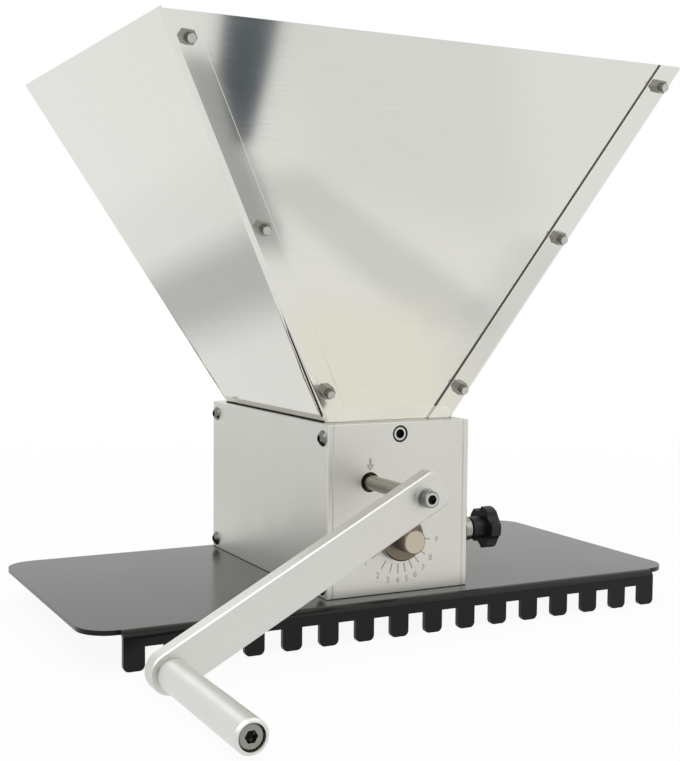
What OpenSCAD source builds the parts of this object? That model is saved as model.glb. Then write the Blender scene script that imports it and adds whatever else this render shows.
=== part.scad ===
// Hand-cranked malt mill with three fluted rollers, a folded sheet hopper and a
// toothed base plate that hooks over the rim of a bucket.
// Millimetres. +X right along the crank side, +Y to the back, +Z up.
// Origin: middle of the mill box, on the underside of the base plate.

/* [Base plate] */
// Length of the base plate, left to right
plate_l = 430; // [400:5:520]
// Sheet thickness of the base plate
plate_t = 3; // [2:0.5:4]
// Plate beyond the front end plate
plate_front_margin = 17; // [12:1:40]
// Plate beyond the rear end plate
plate_rear_margin = 7; // [6:1:40]
// How far the plate's middle lies to the right of the mill box
plate_shift = 4; // [-20:1:20]
// Corner radius of the plate
plate_corner_r = 20; // [16:1:40]
// Height of the folded flange, from the plate's top to the tooth tips
flange_drop = 24; // [21:1:40]
// Length of a tooth
tooth_len = 14; // [6:1:15]
// Width of a tooth
tooth_w = 13; // [10:0.5:18]
// Distance from tooth to tooth
tooth_pitch = 25; // [20:0.5:35]
// Corner radius at a tooth's tip
tooth_tip_r = 3.5; // [1:0.5:4.5]
// Outer radius of the fold between plate and flange
fold_r = 5; // [4.5:0.5:7]
// Ledge of plate left inside the mill box round the outlet
outlet_ledge = 2; // [1:0.5:8]

/* [Mill box] */
// Thickness of the front and rear end plates
end_t = 15; // [12:0.5:20]
// Thickness of the side plates
side_t = 4; // [3:0.5:8]
// Small chamfer on the plates' edges
edge_chamfer = 0.5; // [0.2:0.1:1]
// Side screws below the box's top
side_screw_top = 9; // [8:0.5:14]
// Side screws above the base plate
side_screw_bottom = 7; // [6.5:0.5:12]
// Sideways distance of the base screws from the middle
base_screw_x = 25; // [15:1:30]

/* [Rollers] */
// Outside diameter of the rollers
roller_d = 41.5; // [36:0.5:48]
// Length of the rollers
roller_l = 163; // [120:1:220]
// Fixed gap between the two upper rollers
feed_gap = 2; // [1:0.1:4]
// Gap between drive roller and lower roller at the middle of the dial
mill_gap = 1.3; // [1.2:0.1:2.5]
// Throw of the eccentric lower axle
throw = 0.9; // [0.3:0.1:0.9]
// Gap from the upper rollers to the side plates
roller_side_gap = 5.5; // [4:0.5:12]
// Gap from a roller's end to the end plate
roller_end_gap = 0.5; // [0.3:0.1:1.5]
// Height from the base plate to the underside of the lower roller
outlet_h = 15.8; // [12:0.2:30]
// Height from the upper rollers to the box's top
feed_h = 16.85; // [15:0.05:24]
// Number of flutes on a roller
flutes = 48; // [24:1:72]
// Depth of a flute
flute_depth = 1; // [0.4:0.1:1.5]
// Diameter of the core that a roller is pressed on
core_d = 16; // [13:0.5:20]

/* [Shafts and bushes] */
// Diameter of the drive shaft and of the idler's journals
shaft_d = 9.5; // [8.5:0.5:11]
// Outside diameter of the bronze bushes
bush_d = 14; // [13:0.5:18]
// Length of the bronze bushes
bush_l = 11; // [8:0.5:11]
// Hole round the shaft in the front face
shaft_hole_d = 13; // [12:0.5:15]
// Diameter of the eccentric axle's end journals
journal_d = 12; // [10:0.5:13]
// Diameter of the eccentric section that carries the lower roller
axle_d = 14; // [12:0.5:16]
// Outside diameter of the lower roller's bushes
lower_bush_d = 18; // [17:0.5:24]
// Length of the lower roller's bushes
lower_bush_l = 15; // [8:1:30]

/* [Crank] */
// Length from the shaft to the grip
crank_len = 179; // [140:1:240]
// Distance from the front plate to the back of the arm
crank_reach = 57.5; // [35:0.5:90]
// Width of the arm
arm_w = 24; // [18:0.5:32]
// Thickness of the arm
arm_t = 11; // [8:0.5:16]
// How far the arm's squared end lies beyond the shaft
arm_tail = 13.5; // [11:0.5:24]
// Corner radius of the arm's squared end
arm_corner_r = 4; // [2:0.5:8]
// Chamfer on the arm's edges
arm_chamfer = 0.8; // [0.3:0.1:1.5]
// Diameter of the shaft's seat in the arm
spigot_d = 8.5; // [7.5:0.5:8.5]
// Gap between the resting arm and the surface that the teeth stand on
rest_gap = 0.3; // [0.1:0.1:2]
// Diameter of the grip
grip_d = 18; // [17:0.5:30]
// Length of the grip
grip_l = 107.5; // [70:0.5:150]
// Shoulder diameter of the bolt that the grip turns on
grip_bolt_d = 9; // [8:0.5:10]

/* [Gap dial and lock knob] */
// Diameter of the dial's disc
dial_d = 30; // [24:0.5:40]
// Thickness of the dial's disc
dial_t = 6; // [5:0.5:8]
// Diameter of the dial's knob
dial_knob_d = 16; // [14:0.5:22]
// Distance from the front plate to the end of the dial's knob
dial_reach = 20.5; // [16:0.5:32]
// Direction of the middle of the scale, from +X upwards
scale_angle = 282; // [0:1:359]
// How far the dial stands past the middle of the scale
dial_open = 100; // [-70:1:100]
// Diameter of the star knob
lock_knob_d = 28; // [24:0.5:36]
// Thickness of the star knob's head
lock_knob_t = 11; // [8:0.5:16]
// Length of the star knob's neck
lock_neck_l = 9.4; // [5:0.1:20]
// How far the star knob is unscrewed from its clamped place
lock_lift = 1.6; // [1.2:0.1:3]
// Diameter of the star knob's neck
lock_neck_d = 15; // [12:0.5:18]
// Number of lobes on the star knob
lock_lobes = 5; // [5:1:9]
// Diameter of the steel collar under the star knob
collar_d = 16; // [14:0.5:20]
// Thickness of the steel collar
collar_t = 4.5; // [3:0.5:8]

/* [Hopper] */
// Length of the hopper's mouth, left to right
hopper_l = 362; // [240:2:440]
// Width of the hopper's mouth, front to back
hopper_w = 296; // [220:2:360]
// Height of the hopper above the mill box
hopper_h = 233; // [150:1:300]
// Sheet thickness of the hopper
sheet_t = 1.5; // [1:0.1:2]
// Width of the folded corner flanges
corner_flange_w = 18.3; // [16:0.1:26]
// Corner bolts from the corner's fold
corner_bolt_inset = 10; // [8:0.5:11]
// Lowest corner bolt above the fold of the throat, along the slope
corner_bolt_low = 22; // [14:1:40]
// Highest corner bolt below the rim, along the slope
corner_bolt_high = 13.5; // [10:0.5:40]
// Depth of the front and rear skirts inside the box
skirt_h = 15; // [13:0.5:16]
// Depth of the side skirts before they turn in towards the rollers
side_skirt_h = 5.5; // [3:0.5:7]
// Outer radius of the bend at each corner fold
corner_fold_r = 3; // [1:0.5:4]
// Height of the top of the open slit beside each corner fold, along the slope
fold_slit_top = 86; // [40:1:120]
// Height of that slit's foot, along the slope
fold_slit_foot = 6; // [3:1:12]
// Width of that slit at its widest
fold_slit_w = 3; // [1:0.5:4]
// Height of the hopper's fixing screws below the box's top
fixing_screw_top = 7.5; // [7:0.5:8]

/* [Fasteners and fits] */
// Thread diameter of the crank, side and fixing screws
screw_d = 6; // [5:0.5:6]
// Thread diameter of the hopper and base screws
small_screw_d = 5; // [4:0.5:5.5]
// Radial clearance of a turning shaft in its hole
running_fit = 0.05; // [0.02:0.01:0.1]
// Radial clearance of a seated or pressed piece
seat_fit = 0.02; // [0.01:0.01:0.05]
// Radial clearance of a screw in a plain hole
hole_fit = 0.25; // [0.15:0.05:0.4]
// Gap between sheets and between pieces that only pass each other
pass_gap = 0.3; // [0.2:0.05:0.5]
// Gap between the grain guides and the upper rollers
guide_gap = 1.5; // [1:0.1:3]
// Gap between the hopper's throat and the side plates
throat_gap = 0.7; // [0.3:0.1:1.5]

/* [Hidden] */
$fn = 64;
eps = 0.01;

// Mill box, worked out from the rollers
roller_r = roller_d / 2;
inner_w = 2 * roller_d + feed_gap + 2 * roller_side_gap;
inner_d = roller_l + 2 * roller_end_gap;
body_w = inner_w + 2 * side_t;
body_d = inner_d + 2 * end_t;
front = -body_d / 2;
back = body_d / 2;
drive_x = -(roller_d + feed_gap) / 2;
roller_rise = sqrt(pow(roller_d + mill_gap, 2) - pow(drive_x, 2));
lower_z = plate_t + outlet_h + roller_r;
drive_z = lower_z + roller_rise;
body_top = drive_z + roller_r + feed_h;
body_h = body_top - plate_t;

// Eccentric lower axle: at the middle of the scale its throw is square to the
// line to the drive roller, so equal steps of gap have unequal steps of angle
drive_bearing = atan2(roller_rise, drive_x);
throw_angle = drive_bearing + 90 + dial_open;
lower_x = throw * cos(throw_angle);
lower_roller_z = lower_z + throw * sin(throw_angle);

// Base plate
plate_x0 = plate_shift - plate_l / 2;
plate_x1 = plate_shift + plate_l / 2;
plate_y0 = front - plate_front_margin;
plate_y1 = back + plate_rear_margin;
tooth_tip_z = plate_t - flange_drop;
tooth_root_z = tooth_tip_z + tooth_len;
tooth_count = floor((plate_l - 2 * plate_corner_r - tooth_w) / tooth_pitch) + 1;
comb_l = (tooth_count - 1) * tooth_pitch + tooth_w;

// Screws: heads follow their threads
screw_head_d = screw_d * 5 / 3;
socket_af = screw_d * 5 / 6;
button_head_d = screw_d * 1.75;
button_head_h = screw_d * 0.55;
side_screw_l = 12;
small_head_d = small_screw_d * 1.9;
small_head_h = small_screw_d * 0.54;
small_nut_af = small_screw_d * 1.6;
small_nut_h = small_screw_d * 0.8;
base_screw_l = 18;

// Crank: it rests with its lower end just clear of the surface below the teeth
arm_back_y = front - crank_reach;
arm_front_y = arm_back_y - arm_t;
rest_drop = drive_z - tooth_tip_z - arm_w / 2 - rest_gap;
crank_angle = asin(rest_drop / crank_len);
grip_x = drive_x - crank_len * cos(crank_angle);
grip_z = drive_z - crank_len * sin(crank_angle);
crank_screw_l = 22;
crank_washer_t = 1.6;
crank_washer_d = screw_d * 2;
spigot_flat = spigot_d / 2 - 0.8;
grip_thread_d = grip_bolt_d - 1;
grip_washer_t = 1.5;
grip_washer_d = grip_d - 2;
grip_back_y = arm_front_y - grip_washer_t - pass_gap;
grip_front_y = grip_back_y - grip_l;
grip_head_d = 13;
grip_head_h = 8;
grip_head_sink = 1.5;
grip_well_d = grip_head_d + 1;
grip_well_y = grip_front_y + grip_head_h + grip_head_sink;
grip_chamfer = 1.2;

// Dial and lock knob
dial_back_y = front - pass_gap;
dial_front_y = front - dial_reach;
dial_bore_d = 8;
dial_wall = 4;
dial_rim = 0.8;
dial_screw_d = 4;
dial_index = scale_angle + dial_open;
dial_index_r = 0.77 * dial_d / 2;
lock_y = front + end_t / 2;
collar_x = body_w / 2;
lock_neck_x = collar_x + collar_t + lock_lift + pass_gap;
lock_head_x = lock_neck_x + lock_neck_l;
lock_tip_x = journal_d / 2 + lock_lift;

// Hopper: outer faces of the panels at the throat, and their slopes
throat_x = inner_w / 2 - throat_gap;
throat_y = inner_d / 2 - pass_gap;
mouth_x = hopper_l / 2;
mouth_y = hopper_w / 2;
lean_x = atan((mouth_x - throat_x) / hopper_h);
lean_y = atan((mouth_y - throat_y) / hopper_h);
slant_x = hopper_h / cos(lean_x);
slant_y = hopper_h / cos(lean_y);
layer = sheet_t + pass_gap / 3;
flange_step = layer / cos(lean_y);
flange_foot = layer * tan(lean_y) + pass_gap;
sheet_x = sheet_t / cos(lean_x);
corner_bolt_top = slant_y - corner_bolt_high;
corner_rows = [corner_bolt_low, (corner_bolt_low + corner_bolt_top) / 2, corner_bolt_top];
fixing_z = body_top - fixing_screw_top;
fixing_nut_h = screw_d * 5 / 6;

// Grain guide: it slopes in at 45 degrees and stops a set gap short of the roller
guide_top = body_top - side_skirt_h;
guide_dx = drive_x + throat_x;
guide_dz = guide_top - drive_z;
guide_near = (guide_dx + guide_dz) / sqrt(2);
guide_off = pow(guide_dx, 2) + pow(guide_dz, 2) - pow(roller_r + guide_gap, 2);
guide_l = guide_near - sqrt(pow(guide_near, 2) - guide_off);

// Cylinder along Y between two places
module y_rod(d, y0, y1, fn = 64) {
    translate([0, y1, 0]) rotate([90, 0, 0]) cylinder(d = d, h = y1 - y0, $fn = fn);
}

// Cylinder along X between two places
module x_rod(d, x0, x1, fn = 64) {
    translate([x0, 0, 0]) rotate([0, 90, 0]) cylinder(d = d, h = x1 - x0, $fn = fn);
}

// Rectangle with cut corners, centred
module cut_rect(w, h, c) {
    polygon([
        [-w / 2 + c, -h / 2], [w / 2 - c, -h / 2], [w / 2, -h / 2 + c], [w / 2, h / 2 - c],
        [w / 2 - c, h / 2], [-w / 2 + c, h / 2], [-w / 2, h / 2 - c], [-w / 2, -h / 2 + c]
    ]);
}

// Block with chamfered edges, centred in X and Y and standing on z = 0
module chamfered_block(x, y, z, c) {
    translate([0, 0, z / 2]) intersection() {
        translate([0, 0, -z / 2]) linear_extrude(z) cut_rect(x, y, c);
        rotate([90, 0, 0]) translate([0, 0, -y / 2]) linear_extrude(y) cut_rect(x, z, c);
        rotate([90, 0, 90]) translate([0, 0, -x / 2]) linear_extrude(x) cut_rect(y, z, c);
    }
}

// Plain sleeve along Y
module sleeve(d, bore, y0, y1) {
    difference() {
        y_rod(d, y0, y1);
        y_rod(bore, y0 - 1, y1 + 1);
    }
}

// Low domed screw along +Z, its head's seat on z = 0 and its thread below
module button_screw(d, head_d, head_h, length, socket_af) {
    dome_r = (pow(head_d / 2, 2) + pow(head_h, 2)) / (2 * head_h);
    difference() {
        union() {
            intersection() {
                translate([0, 0, head_h - dome_r]) sphere(r = dome_r);
                cylinder(d = head_d, h = head_h);
            }
            translate([0, 0, -length]) cylinder(d = d, h = length + eps);
        }
        translate([0, 0, head_h * 0.35]) cylinder(d = socket_af / cos(30), h = head_h, $fn = 6);
    }
}

// Cylindrical socket screw along +Z, its head's seat on z = 0
module socket_screw(d, head_d, head_h, length, socket_af) {
    chamfer = head_d / 20;
    difference() {
        union() {
            cylinder(d = head_d, h = head_h - chamfer);
            translate([0, 0, head_h - chamfer])
                cylinder(d1 = head_d, d2 = head_d - 2 * chamfer, h = chamfer);
            translate([0, 0, -length]) cylinder(d = d, h = length + eps);
        }
        translate([0, 0, head_h * 0.45]) cylinder(d = socket_af / cos(30), h = head_h, $fn = 6);
    }
}

// Hexagon nut standing on z = 0
module hex_nut(af, h, bore) {
    difference() {
        cylinder(d = af / cos(30), h = h, $fn = 6);
        translate([0, 0, -1]) cylinder(d = bore, h = h + 2);
    }
}

// Flat of the base plate: its front and back edges are the lines where the folds begin
module plate_outline() {
    bends = [plate_y0 + fold_r, plate_y1 - fold_r];
    inset_x = [plate_x0 + plate_corner_r, plate_x1 - plate_corner_r];
    inset_y = [bends[0] + plate_corner_r, bends[1] - plate_corner_r];
    translate([plate_x0, inset_y[0]]) square([plate_l, inset_y[1] - inset_y[0]]);
    translate([inset_x[0], bends[0]]) square([inset_x[1] - inset_x[0], bends[1] - bends[0]]);
    for (x = inset_x, y = inset_y) translate([x, y]) circle(r = plate_corner_r);
}

module tooth_outline() {
    translate([-tooth_w / 2, tooth_tip_r]) square([tooth_w, tooth_len - tooth_tip_r + eps]);
    translate([-tooth_w / 2 + tooth_tip_r, 0]) square([tooth_w - 2 * tooth_tip_r, tooth_len]);
    for (x = [-1, 1]) translate([x * (tooth_w / 2 - tooth_tip_r), tooth_tip_r]) circle(r = tooth_tip_r);
}

// Toothed flange with its fold, for an edge that faces -Y at y = 0
module comb() {
    translate([-comb_l / 2, 0, tooth_root_z]) cube([comb_l, plate_t, plate_t - fold_r - tooth_root_z]);
    for (i = [0 : tooth_count - 1])
        translate([i * tooth_pitch - (comb_l - tooth_w) / 2, plate_t, tooth_tip_z])
            rotate([90, 0, 0]) linear_extrude(plate_t) tooth_outline();
    translate([0, fold_r, plate_t - fold_r]) intersection() {
        difference() {
            x_rod(2 * fold_r, -comb_l / 2, comb_l / 2);
            x_rod(2 * (fold_r - plate_t), -comb_l / 2 - 1, comb_l / 2 + 1);
        }
        translate([-comb_l / 2, -fold_r, 0]) cube([comb_l, fold_r, fold_r]);
    }
}

// Base plate: flat sheet with round corners, folded down into a comb at front and back
module base_plate() {
    color("#26262a") {
        difference() {
            linear_extrude(plate_t) plate_outline();
            translate([0, 0, -1]) linear_extrude(plate_t + 2)
                square([inner_w - 2 * outlet_ledge, inner_d - 2 * outlet_ledge], center = true);
            base_screw_places() {
                translate([0, 0, -1]) cylinder(d = small_screw_d + 2 * hole_fit, h = plate_t + 2);
                translate([0, 0, -eps]) cylinder(
                    d1 = small_head_d + 2 * hole_fit, d2 = small_screw_d + 2 * hole_fit, h = small_head_h);
            }
        }
        translate([plate_shift, plate_y0, 0]) comb();
        translate([plate_shift, plate_y1, 0]) rotate([0, 0, 180]) comb();
    }
}

module base_screw_places() {
    for (x = [-1, 1], y = [-1, 1]) translate([x * base_screw_x, y * (back - end_t / 2), 0]) children();
}

// Countersunk screws up through the plate into the end plates
module base_screws() {
    color("#3a3a3c") base_screw_places() difference() {
        union() {
            translate([0, 0, hole_fit]) cylinder(d1 = small_head_d, d2 = small_screw_d, h = small_head_h);
            translate([0, 0, hole_fit]) cylinder(d = small_screw_d, h = base_screw_l);
        }
        cylinder(d = small_screw_d * 0.6 / cos(30), h = small_head_h * 0.7, $fn = 6);
    }
}

// End plate at the front, with every hole that the front and rear plates share
module end_plate_blank() {
    difference() {
        translate([0, front + end_t / 2, plate_t]) chamfered_block(inner_w, end_t, body_h, edge_chamfer);
        for (side = [-1, 1]) translate([side * drive_x, 0, drive_z])
            y_rod(bush_d + 2 * seat_fit, front + end_t - bush_l, front + end_t + 1);
        translate([0, 0, fixing_z]) {
            y_rod(screw_d + 2 * hole_fit, front - 1, front + end_t + 1);
            y_rod(screw_head_d + 4 * hole_fit, front - 1, front + screw_d + hole_fit);
        }
        side_screw_places(front + end_t / 2)
            translate([0, 0, -side_screw_l - 1]) cylinder(d = screw_d + 2 * seat_fit, h = side_screw_l + 2);
        for (x = [-1, 1]) translate([x * base_screw_x, front + end_t / 2, plate_t - 1])
            cylinder(d = small_screw_d + 2 * seat_fit, h = base_screw_l + 1);
    }
}

module front_end_plate() {
    color("#cfcfcb") difference() {
        end_plate_blank();
        translate([drive_x, 0, drive_z]) y_rod(shaft_hole_d, front - 1, front + end_t);
        translate([0, 0, lower_z]) y_rod(journal_d + 2 * running_fit, front - 1, front + end_t + 1);
        translate([0, lock_y, lower_z]) x_rod(screw_d + 2 * running_fit, 0, inner_w / 2 + 1);
    }
}

module rear_end_plate() {
    color("#c6c6c2") rotate([0, 0, 180]) difference() {
        end_plate_blank();
        translate([0, 0, lower_z])
            y_rod(journal_d + 2 * running_fit, front + end_t - bush_l, front + end_t + 1);
    }
}

// Places of one end plate's side screws, z pointing out of the side plate
module side_screw_places(y) {
    for (side = [-1, 1], z = [plate_t + side_screw_bottom, body_top - side_screw_top])
        translate([side * inner_w / 2, y, z]) rotate([0, side * 90, 0]) children();
}

module side_plate(side) {
    difference() {
        translate([side * (inner_w + side_t) / 2, 0, plate_t])
            chamfered_block(side_t, body_d, body_h, edge_chamfer);
        for (y = [-1, 1]) side_screw_places(y * (back - end_t / 2))
            translate([0, 0, -1]) cylinder(d = screw_d + 2 * hole_fit, h = side_t + 2);
        if (side > 0) translate([0, lock_y, lower_z])
            x_rod(screw_d + 2 * hole_fit, inner_w / 2 - 1, body_w / 2 + 1);
    }
}

module left_side_plate() {
    color("#b9b9b4") side_plate(-1);
}

module right_side_plate() {
    color("#b9b9b4") side_plate(1);
}

module side_plate_screws() {
    color("#8d8d8a") for (y = [-1, 1]) side_screw_places(y * (back - end_t / 2))
        translate([0, 0, side_t])
            button_screw(screw_d, button_head_d, button_head_h, side_t + side_screw_l, screw_d * 2 / 3);
}

// Fluted roller on the Y axis with its bore
module fluted_roller(bore) {
    step = 360 / flutes;
    outline = [for (i = [0 : flutes - 1], p = [[0, 0], [0.35, 0], [0.68, flute_depth]])
        (roller_r - p[1]) * [cos((i + p[0]) * step), sin((i + p[0]) * step)]];
    difference() {
        translate([0, roller_l / 2, 0]) rotate([90, 0, 0]) linear_extrude(roller_l) polygon(outline);
        y_rod(bore, -roller_l / 2 - 1, roller_l / 2 + 1);
    }
}

module upper_bush(side, end) {
    y_in = inner_d / 2;
    translate([side * drive_x, 0, drive_z]) rotate([0, 0, end > 0 ? 0 : 180])
        sleeve(bush_d, shaft_d + 2 * running_fit, y_in, y_in + bush_l);
}

module drive_front_bush() {
    color("#b08d57") upper_bush(1, -1);
}

module drive_rear_bush() {
    color("#b08d57") upper_bush(1, 1);
}

module idler_front_bush() {
    color("#b08d57") upper_bush(-1, -1);
}

module idler_rear_bush() {
    color("#b08d57") upper_bush(-1, 1);
}

// Drive shaft: core in the roller, journals, and a flatted seat for the crank arm
module drive_shaft() {
    rear_tip = inner_d / 2 + bush_l - pass_gap;
    color("#8f8a82") translate([drive_x, 0, drive_z]) difference() {
        union() {
            y_rod(core_d, -roller_l / 2, roller_l / 2);
            y_rod(shaft_d, arm_back_y, rear_tip);
            difference() {
                y_rod(spigot_d, arm_front_y + pass_gap, arm_back_y + eps);
                translate([-spigot_d, arm_front_y - 1, spigot_flat])
                    cube([2 * spigot_d, arm_t + 1, spigot_d]);
            }
        }
        y_rod(screw_d + 2 * seat_fit, arm_front_y - 1, arm_front_y + crank_screw_l);
    }
}

module drive_roller() {
    color("#77787a") translate([drive_x, 0, drive_z]) fluted_roller(core_d + 2 * seat_fit);
}

module idler_shaft() {
    tip = inner_d / 2 + bush_l - pass_gap;
    color("#8f8a82") translate([-drive_x, 0, drive_z]) {
        y_rod(core_d, -roller_l / 2, roller_l / 2);
        y_rod(shaft_d, -tip, tip);
    }
}

module idler_roller() {
    color("#77787a") translate([-drive_x, 0, drive_z]) fluted_roller(core_d + 2 * seat_fit);
}

// Lower axle: end journals on the dial's axis, with an eccentric middle section
module eccentric_axle() {
    rear_tip = inner_d / 2 + bush_l - pass_gap;
    color("#8f8a82") {
        translate([lower_x, 0, lower_roller_z]) y_rod(axle_d, -roller_l / 2, roller_l / 2);
        translate([0, 0, lower_z]) {
            y_rod(journal_d, dial_back_y, -roller_l / 2 + eps);
            y_rod(journal_d, roller_l / 2 - eps, rear_tip);
            y_rod(dial_bore_d, dial_front_y + dial_wall, dial_back_y + eps);
        }
    }
}

module lower_roller() {
    color("#77787a") translate([lower_x, 0, lower_roller_z]) fluted_roller(lower_bush_d + 2 * seat_fit);
}

module lower_bush(end) {
    y_in = roller_l / 2 - lower_bush_l;
    translate([lower_x, 0, lower_roller_z]) rotate([0, 0, end > 0 ? 0 : 180])
        sleeve(lower_bush_d, axle_d + 2 * running_fit, y_in, roller_l / 2);
}

module lower_front_bush() {
    color("#b08d57") lower_bush(-1);
}

module lower_rear_bush() {
    color("#b08d57") lower_bush(1);
}

// Dial: turned disc and knob, with an index dimple and a grub screw hole
module gap_dial() {
    total = dial_back_y - dial_front_y;
    color("#b9ad9b") translate([0, dial_back_y, lower_z]) difference() {
        rotate([90, 0, 0]) rotate_extrude() polygon([
            [0, 0], [dial_d / 2, 0], [dial_d / 2, dial_t - dial_rim], [dial_d / 2 - dial_rim, dial_t],
            [dial_knob_d / 2, dial_t], [dial_knob_d / 2, total - dial_rim],
            [dial_knob_d / 2 - dial_rim, total], [0, total]
        ]);
        y_rod(dial_bore_d + 2 * seat_fit, -total + dial_wall - seat_fit, 1);
        rotate([0, -dial_index, 0]) translate([dial_index_r, 0, 0])
            y_rod(dial_rim * 3, -dial_t - 1, -dial_t + dial_rim);
        translate([0, -dial_t / 2, 0]) rotate([0, 90 - dial_index, 0])
            x_rod(dial_screw_d + 2 * seat_fit, dial_bore_d / 2, dial_d);
    }
}

module dial_grub_screw() {
    start = dial_bore_d / 2 + 2 * seat_fit;
    end = dial_d / 2 - dial_rim;
    color("#3a3a3c") translate([0, dial_back_y - dial_t / 2, lower_z])
        rotate([0, 90 - dial_index, 0]) difference() {
            x_rod(dial_screw_d, start, end);
            x_rod(dial_screw_d / 2, end - dial_screw_d / 2, end + 1, 6);
        }
}

// Star knob that clamps the eccentric's front journal, with a lobe towards the front
module lock_knob() {
    scallop_r = lock_knob_d * PI / lock_lobes / 3;
    scallop_at = (lock_knob_d + scallop_r) / 2;
    crown_r = lock_knob_d;
    head_end = lock_head_x + lock_knob_t;
    color("#1c1c1e") translate([0, lock_y, lower_z]) difference() {
        union() {
            x_rod(lock_neck_d, lock_neck_x, lock_head_x + eps);
            intersection() {
                difference() {
                    x_rod(lock_knob_d, lock_head_x, head_end);
                    for (i = [0 : lock_lobes - 1]) rotate([90 + (i + 0.5) * 360 / lock_lobes, 0, 0])
                        translate([0, 0, scallop_at]) x_rod(2 * scallop_r, lock_head_x - 1, head_end + 1);
                }
                translate([head_end - crown_r, 0, 0]) sphere(r = crown_r);
            }
        }
        x_rod(screw_d + 2 * seat_fit, lock_neck_x - 1, lock_head_x + lock_knob_t / 2);
    }
}

module lock_stud() {
    color("#9a9a98") translate([0, lock_y, lower_z])
        x_rod(screw_d, lock_tip_x, lock_head_x + lock_knob_t / 2 - seat_fit);
}

module lock_collar() {
    color("#a9a9a6") translate([0, lock_y, lower_z]) difference() {
        x_rod(collar_d, collar_x, collar_x + collar_t);
        x_rod(screw_d + 2 * hole_fit, collar_x - 1, collar_x + collar_t + 1);
    }
}

// Puts the crank's own frame, hub at the origin and grip along +X, in its rest place
module on_crank() {
    translate([drive_x, 0, drive_z]) rotate([0, 180 - crank_angle, 0]) children();
}

// Disc of the arm's thickness with chamfered rims, its back on y = 0
module arm_disc(r) {
    c = arm_chamfer;
    rotate([90, 0, 0]) rotate_extrude()
        polygon([[0, 0], [r - c, 0], [r, c], [r, arm_t - c], [r - c, arm_t], [0, arm_t]]);
}

// Flat bar with chamfered edges, round at the grip and squared with round corners at the hub
module arm_bar() {
    inset_x = arm_tail - arm_corner_r;
    inset_z = arm_w / 2 - arm_corner_r;
    end_l = inset_x + arm_tail;
    translate([crank_len, 0, 0]) arm_disc(arm_w / 2);
    for (side = [-1, 1]) translate([-inset_x, 0, side * inset_z]) arm_disc(arm_corner_r);
    translate([-inset_x, -arm_t / 2, 0]) rotate([0, 90, 0])
        linear_extrude(crank_len + inset_x) cut_rect(arm_w, arm_t, arm_chamfer);
    translate([-arm_tail + end_l / 2, -arm_t / 2, -inset_z])
        linear_extrude(2 * inset_z) cut_rect(end_l, arm_t, arm_chamfer);
}

module crank_arm() {
    color("#cbc9c4") on_crank() difference() {
        translate([0, arm_back_y, 0]) arm_bar();
        difference() {
            y_rod(spigot_d + 2 * seat_fit, arm_front_y - 1, arm_back_y + 1);
            rotate([0, 180 + crank_angle, 0])
                translate([-spigot_d, arm_front_y - 2, spigot_flat + seat_fit])
                    cube([2 * spigot_d, arm_t + 4, spigot_d]);
        }
        translate([crank_len, 0, 0]) y_rod(grip_thread_d + 2 * seat_fit, arm_front_y - 1, arm_back_y + 1);
    }
}

module crank_washer() {
    color("#8d8d8a") translate([drive_x, 0, drive_z])
        sleeve(crank_washer_d, screw_d + 2 * hole_fit, arm_front_y - crank_washer_t, arm_front_y);
}

module crank_screw() {
    color("#8d8d8a") translate([drive_x, arm_front_y - crank_washer_t, drive_z]) rotate([90, 0, 0])
        socket_screw(screw_d, screw_head_d, screw_d, crank_washer_t + crank_screw_l - pass_gap, socket_af);
}

// Turning grip: tube with a well for the bolt's head
module grip() {
    c = grip_chamfer;
    r = grip_d / 2;
    well = grip_well_y - grip_front_y;
    bore_r = grip_bolt_d / 2 + running_fit;
    color("#d6d6d2") translate([grip_x, grip_back_y, grip_z]) rotate([90, 0, 0]) rotate_extrude() polygon([
        [bore_r, 0], [r - c, 0], [r, c], [r, grip_l - c], [r - c, grip_l],
        [grip_well_d / 2, grip_l], [grip_well_d / 2, grip_l - well], [bore_r, grip_l - well]
    ]);
}

module grip_bolt() {
    seat_y = grip_well_y - pass_gap;
    shoulder_l = arm_front_y - grip_washer_t - seat_y;
    thread_l = arm_t + grip_washer_t;
    color("#8d8d8a") translate([grip_x, seat_y, grip_z]) rotate([90, 0, 0]) {
        socket_screw(grip_bolt_d, grip_head_d, grip_head_h, shoulder_l, grip_head_d * 6 / 13);
        translate([0, 0, -shoulder_l - thread_l]) cylinder(d = grip_thread_d, h = thread_l + eps);
    }
}

module grip_washer() {
    color("#8d8d8a") translate([grip_x, 0, grip_z])
        sleeve(grip_washer_d, grip_thread_d + 2 * seat_fit, arm_front_y - grip_washer_t, arm_front_y);
}

// Puts a sheet's own plane on the hopper's front slope: x to the right, y up the
// slope, z out of the hopper, with the throat's edge on y = 0
module on_slope(half, lean) {
    translate([0, -half, body_top]) rotate([90 + lean, 0, 0]) children();
}

module on_left_slope() {
    rotate([0, 0, -90]) on_slope(throat_x, lean_x) children();
}

module slope_outline(half_low, half_high, slant) {
    polygon([[-half_low, 0], [half_low, 0], [half_high, slant], [-half_high, slant]]);
}

// Half width of the front slope at a distance up it
function corner_x(v) = throat_x + (mouth_x - throat_x) * v / slant_y;

// Places of the corner bolts on the front slope, z out of the hopper
module corner_bolt_places() {
    on_slope(throat_y, lean_y) for (side = [-1, 1], v = corner_rows)
        translate([side * (corner_x(v) - corner_bolt_inset), v, 0]) children();
}

module corner_bolt_holes() {
    corner_bolt_places() translate([0, 0, -5]) cylinder(d = small_screw_d + 2 * hole_fit, h = 10);
}

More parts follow.
